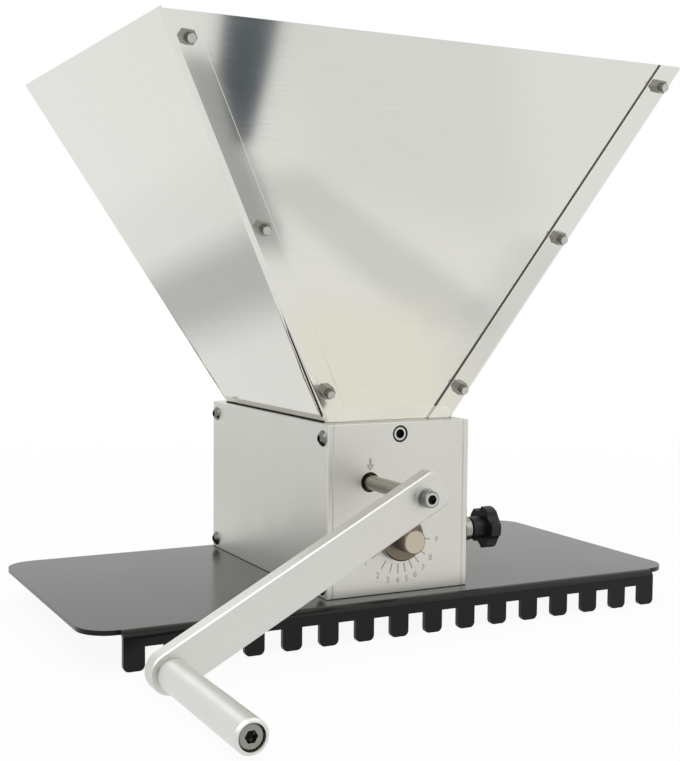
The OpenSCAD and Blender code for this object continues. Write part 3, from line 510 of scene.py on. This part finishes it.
def mirror_card(name, shade, opacity):
    """A glowing card that only mirrors see: it paints a darker or warmer patch of the room into
    reflections, and fades out towards its rim."""
    material, tree, _ = blank(name)
    cover = add(tree, "Attribute", attribute_name="cover")
    dense = add(tree, "MapRange", {"Value": cover.outputs["Fac"], "To Max": opacity},
                interpolation_type="SMOOTHSTEP")
    clear = add(tree, "BsdfTransparent")
    glow = add(tree, "Emission", {"Color": linear(shade), "Strength": 1.0})
    close(tree, add(tree, "MixShader", {0: dense.outputs[0], 1: clear.outputs[0], 2: glow.outputs[0]}))
    return material


# Mesh building

def wear(material, *nodes):
    """Puts a finish on CAD nodes."""
    for name in nodes:
        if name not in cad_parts:
            raise RuntimeError("no node named " + name)
        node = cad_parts[name]
        node.data.materials.clear()
        node.data.materials.append(material)


def piece(name, mesh_maker, material, body=None):
    """A new object from bmesh code: closed solids that ride on a body, or a sheet of the stage."""
    made = bmesh.new()
    mesh_maker(made)
    if body is not None:
        bmesh.ops.recalc_face_normals(made, faces=made.faces)
    mesh = bpy.data.meshes.new(name)
    made.to_mesh(mesh)
    made.free()
    mesh.materials.append(material)
    obj = bpy.data.objects.new(name, mesh)
    bpy.context.scene.collection.objects.link(obj)
    if body is None:
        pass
    else:
        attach(obj, body)
    return obj


def centre_of(points):
    """The mean of a list of points."""
    return sum(points, Vector()) / len(points)


def islands(node):
    """The separate solids of a node, each as a list of its points."""
    made = bmesh.new()
    made.from_mesh(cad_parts[node].data)
    bmesh.ops.remove_doubles(made, verts=made.verts, dist=WELD)
    reached, found = set(), []
    for first in made.verts:
        if first in reached:
            continue
        reached.add(first)
        stack, group = [first], []
        while stack:
            vert = stack.pop()
            group.append(vert.co.copy())
            for edge in vert.link_edges:
                other = edge.other_vert(vert)
                if other not in reached:
                    reached.add(other)
                    stack.append(other)
        found.append(group)
    made.free()
    return found


def slope(node):
    """A point on a hopper panel's outer face, its largest face that looks down, and its normal."""
    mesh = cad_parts[node].data
    face = max((f for f in mesh.polygons if f.normal.z < DOWNWARD), key=lambda f: f.area)
    return mesh.vertices[face.vertices[0]].co.copy(), face.normal.copy()


def flange_edge(node, panel, start):
    """The free edge of a corner flange over an end panel: its end that far above the flange's foot, its
    end at the rim, the panel's normal, and the side along x to which the edge is free."""
    mesh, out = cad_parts[node].data, slope(panel)[1]
    points = [mesh.vertices[i].co for face in mesh.polygons if face.normal.dot(out) > PARALLEL
              for i in face.vertices]
    if not points:
        raise RuntimeError(node + " has no flange over " + panel)
    side = -math.copysign(1.0, points[0].x)
    lowest, highest = min(p.z for p in points), max(p.z for p in points)
    foot = max((p for p in points if p.z < lowest + LEVEL_DEPTH), key=lambda p: side * p.x)
    rim = max((p for p in points if p.z > highest - LEVEL_DEPTH), key=lambda p: side * p.x)
    return foot + (rim - foot).normalized() * start, rim.copy(), out, side


def bar(made, start, end, section):
    """A closed bar between two points: section is a list of offsets from its line."""
    rows = [[made.verts.new(at + offset) for offset in section] for at in (start, end)]
    made.faces.new(rows[0])
    made.faces.new(list(reversed(rows[1])))
    for i in range(len(section)):
        j = (i + 1) % len(section)
        made.faces.new((rows[0][j], rows[0][i], rows[1][i], rows[1][j]))


def slab(made, outline, back, front):
    """A flat closed solid: outline is a list of (x, z), between two planes across Y."""
    section = [Vector((x, 0.0, z)) for x, z in outline]
    bar(made, Vector((0.0, front, 0.0)), Vector((0.0, back, 0.0)), section)


def washer(made, centre, axis, inner, outer, height):
    """A thin closed ring that stands on a plane, or a disc where inner is nothing."""
    side = axis.orthogonal().normalized()
    up = axis.cross(side)
    turns = [2.0 * math.pi * i / ROUND_SIDES for i in range(ROUND_SIDES)]
    rim = [side * math.cos(a) + up * math.sin(a) for a in turns]
    if not inner:
        bar(made, centre, centre + axis * height, [out * outer for out in rim])
        return
    loops = [[made.verts.new(centre + out * radius + axis * level) for out in rim]
             for radius, level in ((inner, 0.0), (outer, 0.0), (outer, height), (inner, height))]
    for low, high in zip(loops, loops[1:] + loops[:1]):
        for i in range(len(rim)):
            j = (i + 1) % len(rim)
            made.faces.new((low[i], low[j], high[j], high[i]))


Head = namedtuple("Head", "front rim floor socket")


def heads(node, axis):
    """The screw heads on the side that axis points to: the middle of each front, the front's radius, the
    middle of the socket's floor, and the socket's radius."""
    found = []
    for points in islands(node):
        if points[0].dot(axis) < 0.0:
            continue
        top = max(p.dot(axis) for p in points)
        flat = [p - axis * p.dot(axis) for p in points]
        middle = Vector([(min(p[k] for p in flat) + max(p[k] for p in flat)) / 2 for k in range(3)])
        apart = [((q - middle).length, p.dot(axis)) for p, q in zip(points, flat)]
        reach = SOCKET_REACH * max(out for out, _ in apart)
        inside = [(out, along) for out, along in apart if out < reach]
        floor = max(along for _, along in inside if along < top - SOCKET_LEAST)
        socket = max(out for out, along in inside if abs(along - floor) < FLOOR_DEPTH)
        rim = max(out for out, along in apart if along > top - FACE_DEPTH)
        found.append(Head(middle + axis * top, rim, middle + axis * floor, socket))
    return found


def painted_highlight_faces(made, screws, share, film):
    """Rings of painted highlight on the fronts of cap screws: screws lists nodes, each with the side it
    faces.
    """
    for node, axis in screws:
        for head in heads(node, axis):
            washer(made, head.front, axis, HIGHLIGHT_INNER * head.socket, share * head.rim, film)


def socket_shade_plugs(made, screws, depth):
    """Plugs of painted shade in the sockets of screws: screws lists nodes, each with the side it faces.
    """
    for node, axis in screws:
        for head in heads(node, axis):
            washer(made, head.floor, axis, 0.0, SOCKET_SHADE_SHARE * head.socket, depth)


def helix(made, start, axis, run, radius, rise, pitch):
    """A thread's ridge round an axis, which fades out over half a turn at both ends."""
    side = axis.orthogonal().normalized()
    up = axis.cross(side)
    count = max(THREAD_STEPS, int(run / pitch * THREAD_STEPS))
    half = THREAD_FOOT * pitch
    rows = []
    for i in range(count + 1):
        turn = 2.0 * math.pi * i / THREAD_STEPS
        fade = min(1.0, 2.0 * i / THREAD_STEPS, 2.0 * (count - i) / THREAD_STEPS)
        out = side * math.cos(turn) + up * math.sin(turn)
        middle = start + axis * (run * i / count)
        foot = middle + out * (radius - THREAD_ROOT)
        crest = middle + out * (radius + rise * fade)
        rows.append([made.verts.new(at) for at in (foot - axis * half, crest, foot + axis * half)])
    for a, b in zip(rows, rows[1:]):
        for k in range(3):
            made.faces.new((a[k], a[(k + 1) % 3], b[(k + 1) % 3], b[k]))
    made.faces.new(list(reversed(rows[0])))
    made.faces.new(rows[-1])


def printed(made, text, height, centre, depth):
    """Adds a printed number to a mesh: its middle at a point on the front plate, as deep as the ink."""
    curve = bpy.data.curves.new("print", "FONT")
    curve.body = text
    curve.size = height / DIGIT_SHARE
    curve.align_x = "CENTER"
    curve.align_y = "CENTER"
    curve.resolution_u = 4
    obj = bpy.data.objects.new("print", curve)
    bpy.context.scene.collection.objects.link(obj)
    bpy.context.view_layer.update()
    flat = bpy.data.meshes.new_from_object(obj.evaluated_get(bpy.context.evaluated_depsgraph_get()))
    bpy.data.objects.remove(obj)
    bpy.data.curves.remove(curve)
    flat.transform(Matrix.Translation(centre) @ Matrix.Rotation(math.pi / 2, 4, "X"))
    glyphs = bmesh.new()
    glyphs.from_mesh(flat)
    raised = bmesh.ops.extrude_face_region(glyphs, geom=glyphs.faces[:])
    moved = [g for g in raised["geom"] if isinstance(g, bmesh.types.BMVert)]
    bmesh.ops.translate(glyphs, verts=moved, vec=(0.0, depth, 0.0))
    glyphs.to_mesh(flat)
    glyphs.free()
    made.from_mesh(flat)
    bpy.data.meshes.remove(flat)


# Operators, one for each group of pieces

class MALTMILL_OT_base_plate(bpy.types.Operator):
    """Black powder coat on the toothed base plate"""

    bl_idname = "malt_mill.base_plate"
    bl_label = "Base plate"

    def execute(self, context):
        colours = context.scene.malt_mill_colours
        wear(black_powder_coat(colours.coat, colours.dust_and_sheen), "base_plate")
        return {"FINISHED"}


class MALTMILL_OT_mill_box(bpy.types.Operator):
    """Satin aluminium on the plates of the mill box"""

    bl_idname = "malt_mill.mill_box"
    bl_label = "Mill box"

    def execute(self, context):
        colours = context.scene.malt_mill_colours
        plate = satin_aluminium("aluminium_plate_satin", colours.box, 0.8, 0.36, 0.44)
        wear(plate, "front_end_plate", "rear_end_plate", "left_side_plate", "right_side_plate")
        return {"FINISHED"}


class MALTMILL_OT_screws(bpy.types.Operator):
    """Screws, nuts and washers, the corner bolts' threads, painted highlights on the cap screws' faces
    and painted shade in their sockets
    """

    bl_idname = "malt_mill.screws"
    bl_label = "Screws and threads"

    def execute(self, context):
        colours, marks = context.scene.malt_mill_colours, context.scene.malt_mill_marks
        wear(plated_steel("steel_zinc_plated", colours.washer, 0.26),
             "crank_washer", "grip_washer")
        wear(plated_steel("steel_zinc_plated_dark", colours.plated_screw, 0.2),
             "side_plate_screws", "crank_screw")
        wear(plated_steel("steel_zinc_plated_cut", colours.bolt, 0.26), "hopper_corner_bolts")
        wear(plated_steel("steel_zinc_plated_dull", colours.nut, 0.3),
             "hopper_corner_nuts", "hopper_fixing_nuts", "grip_bolt")
        # Blackened base and grub screws; on the fixing screws the dark rim left round the bright ring
        # also paints the shade in the counterbore
        wear(plated_steel("steel_black_oxide", colours.dark_screw, 0.4),
             "base_screws", "dial_grub_screw", "hopper_fixing_screws")
        self.threads(colours, marks)
        self.faces(colours, marks)
        return {"FINISHED"}

    def threads(self, colours, marks):
        """Threads on the corner bolts' ends, each from its nut to its tip, in a darker steel that paints
        the shade on their flanks.
        """
        nuts, bolts = islands("hopper_corner_nuts"), islands("hopper_corner_bolts")

        def ridges(made):
            for bolt in bolts:
                middle = centre_of(bolt)
                out = slope("hopper_front_panel" if middle.y < 0.0 else "hopper_rear_panel")[1]
                nut = min(nuts, key=lambda n: (centre_of(n) - middle).length)
                axis_point = centre_of(nut)
                face = max((p - axis_point).dot(out) for p in nut)
                tip = max((p - axis_point).dot(out) for p in bolt)
                helix(made, axis_point + out * (face + NUT_CLEARANCE), out,
                      tip - face - NUT_CLEARANCE - TIP_CLEARANCE,
                      marks.bolt_diameter / 2, marks.thread_rise, marks.thread_pitch)

        # The threads are the bolts' steel made darker: painted shade on their flanks
        painted_shade_thread = plated_steel("steel_thread_rolled", colours.thread, 0.4)
        piece("corner_bolt_threads", ridges, painted_shade_thread, "mill")

    def faces(self, colours, marks):
        """Painted highlights on the cap screws' fronts, and painted shade in the sockets."""
        # A bright ring on each cap screw's front paints its highlight over the darker head
        painted_highlight = plated_steel("steel_worn_bright", colours.painted_highlight, 0.24)
        socket_shade_finish = painted_socket_shade(colours.socket_shade)
        front, rear = Vector((0.0, -1.0, 0.0)), Vector((0.0, 1.0, 0.0))
        left, right = Vector((-1.0, 0.0, 0.0)), Vector((1.0, 0.0, 0.0))
        caps = {"mill": [("hopper_fixing_screws", front), ("hopper_fixing_screws", rear)],
                "crank": [("crank_screw", front)]}
        others = {"mill": [("side_plate_screws", left), ("side_plate_screws", right)],
                  "crank": [("grip_bolt", front)]}
        for body, screws in caps.items():
            rings = partial(painted_highlight_faces, screws=screws, share=marks.face_share, film=marks.face_film)
            # Dark plugs in the sockets paint the shade that falls into them
            shade_plugs = partial(socket_shade_plugs, screws=screws + others[body], depth=marks.socket_shade_depth)
            piece(body + "_screw_faces", rings, painted_highlight, body)
            piece(body + "_socket_grime", shade_plugs, socket_shade_finish, body)


class MALTMILL_OT_rollers(bpy.types.Operator):
    """Steel rollers and shafts, and bronze bushes"""

    bl_idname = "malt_mill.rollers"
    bl_label = "Rollers and shafts"

    def execute(self, context):
        colours = context.scene.malt_mill_colours
        wear(turned_metal("steel_ground", colours.shaft, 0.9, 0.34, "Y"),
             "drive_shaft", "idler_shaft", "eccentric_axle")
        wear(plated_steel("steel_hardened_cut", colours.roller, 0.36),
             "drive_roller", "idler_roller", "lower_roller")
        wear(sintered_bronze(colours.bush), "drive_front_bush", "drive_rear_bush",
             "idler_front_bush", "idler_rear_bush", "lower_front_bush", "lower_rear_bush")
        return {"FINISHED"}


class MALTMILL_OT_crank(bpy.types.Operator):
    """Satin arm and turned grip of the crank"""

    bl_idname = "malt_mill.crank"
    bl_label = "Crank"

    def execute(self, context):
        colours = context.scene.malt_mill_colours
        wear(satin_aluminium("aluminium_bar_satin", colours.arm, 0.7, 0.34, 0.42), "crank_arm")
        wear(turned_metal("aluminium_rod_turned", colours.grip, 0.8, 0.36, "Y"), "grip")
        return {"FINISHED"}


class MALTMILL_OT_gap_dial(bpy.types.Operator):
    """Brass dial with a bright face on its knob, and the printed scale and arrow on the front plate"""

    bl_idname = "malt_mill.gap_dial"
    bl_label = "Gap dial and scale"

    def execute(self, context):
        colours, marks = context.scene.malt_mill_colours, context.scene.malt_mill_marks
        wear(turned_metal("brass_turned_tarnished", colours.dial, 0.7, 0.34, "Y"), "gap_dial")
        ink = pad_print_ink(colours.ink)
        lo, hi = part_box("gap_dial")
        middle = (lo + hi) / 2
        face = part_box("front_end_plate")[0].y
        front, back = face - marks.film, face + marks.film
        half_count = marks.tick_count // 2
        angles = [marks.scale_angle + math.asin(k * marks.tick_throw)
                  for k in range(-half_count, half_count + 1)]
        shaft_lo, shaft_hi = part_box("drive_front_bush")
        shaft = (shaft_lo + shaft_hi) / 2
        tip = Vector((shaft.x, shaft.z + marks.arrow_rise))

        def ticks(made):
            for a in angles:
                along = Vector((math.cos(a), math.sin(a)))
                across = Vector((-along.y, along.x)) * marks.tick_width / 2
                ends = (along * marks.tick_inner, along * marks.tick_outer)
                corners = (ends[0] - across, ends[1] - across, ends[1] + across, ends[0] + across)
                slab(made, [(middle.x + c.x, middle.z + c.y) for c in corners], back, front)

        def numbers(made):
            for i, a in enumerate(angles):
                centre = Vector((middle.x + math.cos(a) * marks.number_radius, front,
                                 middle.z + math.sin(a) * marks.number_radius))
                printed(made, str(i + 1), marks.number_height, centre, back - front)

        def arrow(made):
            wide, high, line = marks.arrow_width / 2, marks.arrow_height, marks.arrow_line
            head, stem, notch = ARROW_HEAD * high, ARROW_STEM * wide, ARROW_TIP_LINES * line
            inner = (wide - ARROW_SIDE_LINES * line) * (head - line - notch) / (head - notch)
            half = ((0.0, 0.0), (wide, head), (stem, head), (stem, high), (0.0, high),
                    (0.0, head - line), (inner, head - line), (0.0, notch))
            for side in (1.0, -1.0):
                slab(made, [(tip.x + side * x, tip.y + z) for x, z in half], back, front)
            # The walls where the two halves meet are inside the arrow, so they are taken out
            bmesh.ops.remove_doubles(made, verts=made.verts, dist=WELD)
            walls = [f for f in made.faces if all(abs(v.co.x - tip.x) < WELD for v in f.verts)]
            bmesh.ops.delete(made, geom=walls, context="FACES_ONLY")

        def knob_face(made):
            rim = max(p.x for p in islands("gap_dial")[0] if p.y < lo.y + FACE_DEPTH)
            washer(made, Vector((middle.x, lo.y, middle.z)), Vector((0.0, -1.0, 0.0)),
                   0.0, rim - middle.x, marks.face_film)

        bright = turned_metal("brass_faced_bright", colours.dial_face, 0.8, 0.3, "Y", middle)
        piece("dial_knob_face", knob_face, bright, "eccentric")
        piece("dial_ticks", ticks, ink, "mill")
        piece("dial_numbers", numbers, ink, "mill")
        piece("turn_arrow", arrow, ink, "mill")
        return {"FINISHED"}


class MALTMILL_OT_lock_knob(bpy.types.Operator):
    """Black nylon star knob on its steel stud and collar"""

    bl_idname = "malt_mill.lock_knob"
    bl_label = "Lock knob"

    def execute(self, context):
        colours = context.scene.malt_mill_colours
        wear(moulded_nylon(colours.knob), "lock_knob")
        wear(turned_metal("steel_turned_dull", colours.nut, 0.5, 0.28, "X"),
             "lock_stud", "lock_collar")
        return {"FINISHED"}


class MALTMILL_OT_hopper(bpy.types.Operator):
    """Rolled stainless sheet on the hopper's panels, their cut edges, and black strips in the gaps at
    its foot
    """

    bl_idname = "malt_mill.hopper"
    bl_label = "Hopper"

    def execute(self, context):
        colours, sheet = context.scene.malt_mill_colours, context.scene.malt_mill_sheet
        ends = rolled_stainless_sheet("stainless_end_sheet_rolled", colours.sheet, 2.0)
        sides = rolled_stainless_sheet("stainless_side_sheet_rolled", colours.sheet, 7.0)
        wear(ends, "hopper_front_panel", "hopper_rear_panel")
        wear(sides, "hopper_left_panel", "hopper_right_panel")
        edges = [flange_edge(node, panel, sheet.edge_start)
                 for node in ("hopper_left_panel", "hopper_right_panel")
                 for panel in ("hopper_front_panel", "hopper_rear_panel")]

        def cut_faces(made):
            lap = -EDGE_LAP * sheet.thickness
            corners = ((lap, 0.0), (lap, 1.0), (sheet.edge_film, 1.0), (sheet.edge_film, 0.0))
            for foot, rim, out, side in edges:
                free = (rim - foot).normalized().cross(out).normalized()
                free *= math.copysign(1.0, free.x * side)
                bar(made, foot, rim, [free * a - out * b * sheet.thickness for a, b in corners])

        def burrs(made):
            turns = [2.0 * math.pi * i / BURR_SIDES for i in range(BURR_SIDES)]
            for foot, rim, out, _ in edges:
                across = (rim - foot).normalized().cross(out).normalized()
                inset = out * BURR_INSET * sheet.burr_radius
                ring = [(out * math.cos(a) + across * math.sin(a)) * sheet.burr_radius for a in turns]
                bar(made, foot - inset, rim - inset, ring)

        # A black strip along the gap between each side panel's foot and its side plate
        def foot_strips(made):
            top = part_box("left_side_plate")[1].z
            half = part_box("hopper_front_panel")[1].y
            for plate, wall, panel, side in (("left_side_plate", 1, "hopper_left_panel", -1.0),
                                             ("right_side_plate", 0, "hopper_right_panel", 1.0)):
                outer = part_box(plate)[wall].x - side * sheet.strip_play
                point, out = slope(panel)
                knee = point.x - (top - point.z) * out.z / out.x + side * sheet.strip_play
                section = [(knee, -sheet.strip_depth), (outer, -sheet.strip_depth),
                           (outer, sheet.strip_height), (knee, 0.0)]
                bar(made, Vector((0.0, half, top)), Vector((0.0, -half, top)),
                    [Vector((x, 0.0, z)) for x, z in section])

        dull = sheared_edge("stainless_edge_sheared", colours.cut_edge, 0.5)
        bright = sheared_edge("stainless_edge_burr", colours.burr, 0.25)
        strip_finish = matt_black_strip(colours.foot_strip)
        piece("hopper_cut_edges", cut_faces, dull, "mill")
        piece("hopper_edge_burrs", burrs, bright, "mill")
        piece("hopper_foot_seals", foot_strips, strip_finish, "mill")
        return {"FINISHED"}


class MALTMILL_OT_stage(bpy.types.Operator):
    """White paper floor, soft lights, cards for the mirrors, and the camera"""

    bl_idname = "malt_mill.stage"
    bl_label = "Stage"

    def execute(self, context):
        stage = context.scene.malt_mill_stage
        level = CAD_BOX[0][2]
        self.paper(level, stage)
        self.room(stage)
        for name, watts, size, place in LAMPS:
            self.lamp(name, getattr(stage, watts), size, place)
        for number, card in enumerate(CARDS, 1):
            self.floor_card(*card, level + number * stage.card_step)
        self.camera(stage)
        context.scene.view_settings.view_transform = "Standard"
        return {"FINISHED"}

    def paper(self, level, stage):
        """A round sheet of paper under the mill."""
        turns = [2.0 * math.pi * i / PAPER_SIDES for i in range(PAPER_SIDES)]
        rim = [(PAPER_RADIUS * math.cos(a), PAPER_RADIUS * math.sin(a), level) for a in turns]

        def sheet(made):
            made.faces.new([made.verts.new(point) for point in rim])

        piece("paper_floor", sheet, studio_paper(stage.floor))

    def floor_card(self, name, shade, opacity, fades, stops, level):
        """A level strip through stops of x, y and width, which fades over its sides and its ends."""
        side_fade, end_fade = fades
        places = [(Vector((x, y, level)), width / 2, 1.0) for x, y, width in stops]
        along = (places[-1][0] - places[0][0]).normalized()
        across = Vector((-along.y, along.x, 0.0))
        places.insert(0, (places[0][0] - along * end_fade, places[0][1], 0.0))
        places.append((places[-1][0] + along * end_fade, places[-1][1], 0.0))

        def sheet(made):
            cover = made.verts.layers.float.new("cover")
            rows = []
            for middle, half, solid in places:
                row = []
                for out, value in ((-half - side_fade, 0.0), (-half, solid),
                                   (half, solid), (half + side_fade, 0.0)):
                    corner = made.verts.new(middle + across * out)
                    corner[cover] = value
                    row.append(corner)
                rows.append(row)
            for low, high in zip(rows, rows[1:]):
                for i in range(3):
                    made.faces.new((low[i], low[i + 1], high[i + 1], high[i]))

        card = piece(name, sheet, mirror_card(name + "_dyed_paper", shade, opacity))
        card.visible_camera = False
        card.visible_diffuse = False
        card.visible_shadow = False

    def lamp(self, name, watts, size, place):
        """A round soft light that is aimed at the mill."""
        data = bpy.data.lights.new(name, "AREA")
        data.shape = "DISK"
        data.size = size
        data.energy = watts
        lamp = bpy.data.objects.new(name, data)
        lamp.location = place
        aim = Vector(LAMP_AIM) - Vector(place)
        lamp.rotation_euler = aim.to_track_quat("-Z", "Y").to_euler()
        bpy.context.scene.collection.objects.link(lamp)

    def room(self, stage):
        """A room that looks white and gives a soft light of its own."""
        world = bpy.data.worlds.new("white_room")
        bpy.context.scene.world = world
        world.use_nodes = True
        tree = world.node_tree
        tree.nodes.clear()
        light = add(tree, "Background", {"Color": WHITE, "Strength": stage.world_strength})
        white = add(tree, "Background", {"Color": WHITE, "Strength": 1.0})
        mix = add(tree, "MixShader", {0: shown_plain(tree), 1: light.outputs[0], 2: white.outputs[0]})
        add(tree, "OutputWorld", {"Surface": mix.outputs[0]})

    def camera(self, stage):
        """The camera, at the photo's angle of view."""
        yaw, pitch, roll = stage.camera_yaw, stage.camera_pitch, stage.camera_roll
        ahead = Vector((math.sin(yaw) * math.cos(pitch), math.cos(yaw) * math.cos(pitch),
                        -math.sin(pitch)))
        right = Vector((math.cos(yaw), -math.sin(yaw), 0.0))
        up = right.cross(ahead)
        turned_right = right * math.cos(roll) + up * math.sin(roll)
        turned_up = up * math.cos(roll) - right * math.sin(roll)
        data = bpy.data.cameras.new("camera")
        data.lens = stage.lens
        data.sensor_width = SENSOR_MM
        data.clip_start = NEAREST_SEEN
        data.clip_end = FARTHEST_SEEN
        camera = bpy.data.objects.new("camera", data)
        bpy.context.scene.collection.objects.link(camera)
        turn = Matrix((turned_right, turned_up, -ahead)).transposed().to_4x4()
        camera.matrix_world = Matrix.Translation(Vector(stage.camera_place)) @ turn
        bpy.context.scene.camera = camera


OPERATORS = (
    MALTMILL_OT_base_plate, MALTMILL_OT_mill_box, MALTMILL_OT_screws, MALTMILL_OT_rollers,
    MALTMILL_OT_crank, MALTMILL_OT_gap_dial, MALTMILL_OT_lock_knob, MALTMILL_OT_hopper,
    MALTMILL_OT_stage,
)
GROUPS = {
    "malt_mill_marks": MaltMillMarks,
    "malt_mill_sheet": MaltMillSheet,
    "malt_mill_colours": MaltMillColours,
    "malt_mill_stage": MaltMillStage,
}


class MALTMILL_PT_panel(bpy.types.Panel):
    """Lists the operators and the values they use"""

    bl_idname = "MALTMILL_PT_panel"
    bl_label = "Malt mill"
    bl_space_type = "VIEW_3D"
    bl_region_type = "UI"
    bl_category = "Malt mill"

    def draw(self, context):
        for operator in OPERATORS:
            self.layout.operator(operator.bl_idname)
        for name, group in GROUPS.items():
            box = self.layout.box()
            for key in group.__annotations__:
                box.prop(getattr(context.scene, name), key)


def register():
    for group in GROUPS.values():
        bpy.utils.register_class(group)
    for name, group in GROUPS.items():
        setattr(bpy.types.Scene, name, bpy.props.PointerProperty(type=group))
    for operator in OPERATORS:
        bpy.utils.register_class(operator)
    bpy.utils.register_class(MALTMILL_PT_panel)


def unregister():
    bpy.utils.unregister_class(MALTMILL_PT_panel)
    for operator in reversed(OPERATORS):
        bpy.utils.unregister_class(operator)
    for name in GROUPS:
        delattr(bpy.types.Scene, name)
    for group in reversed(GROUPS.values()):
        bpy.utils.unregister_class(group)


def main():
    register()
    bpy.ops.malt_mill.base_plate()
    bpy.ops.malt_mill.mill_box()
    bpy.ops.malt_mill.screws()
    bpy.ops.malt_mill.rollers()
    bpy.ops.malt_mill.crank()
    bpy.ops.malt_mill.gap_dial()
    bpy.ops.malt_mill.lock_knob()
    bpy.ops.malt_mill.hopper()
    bpy.ops.malt_mill.stage()


if __name__ == "__main__":
    main()
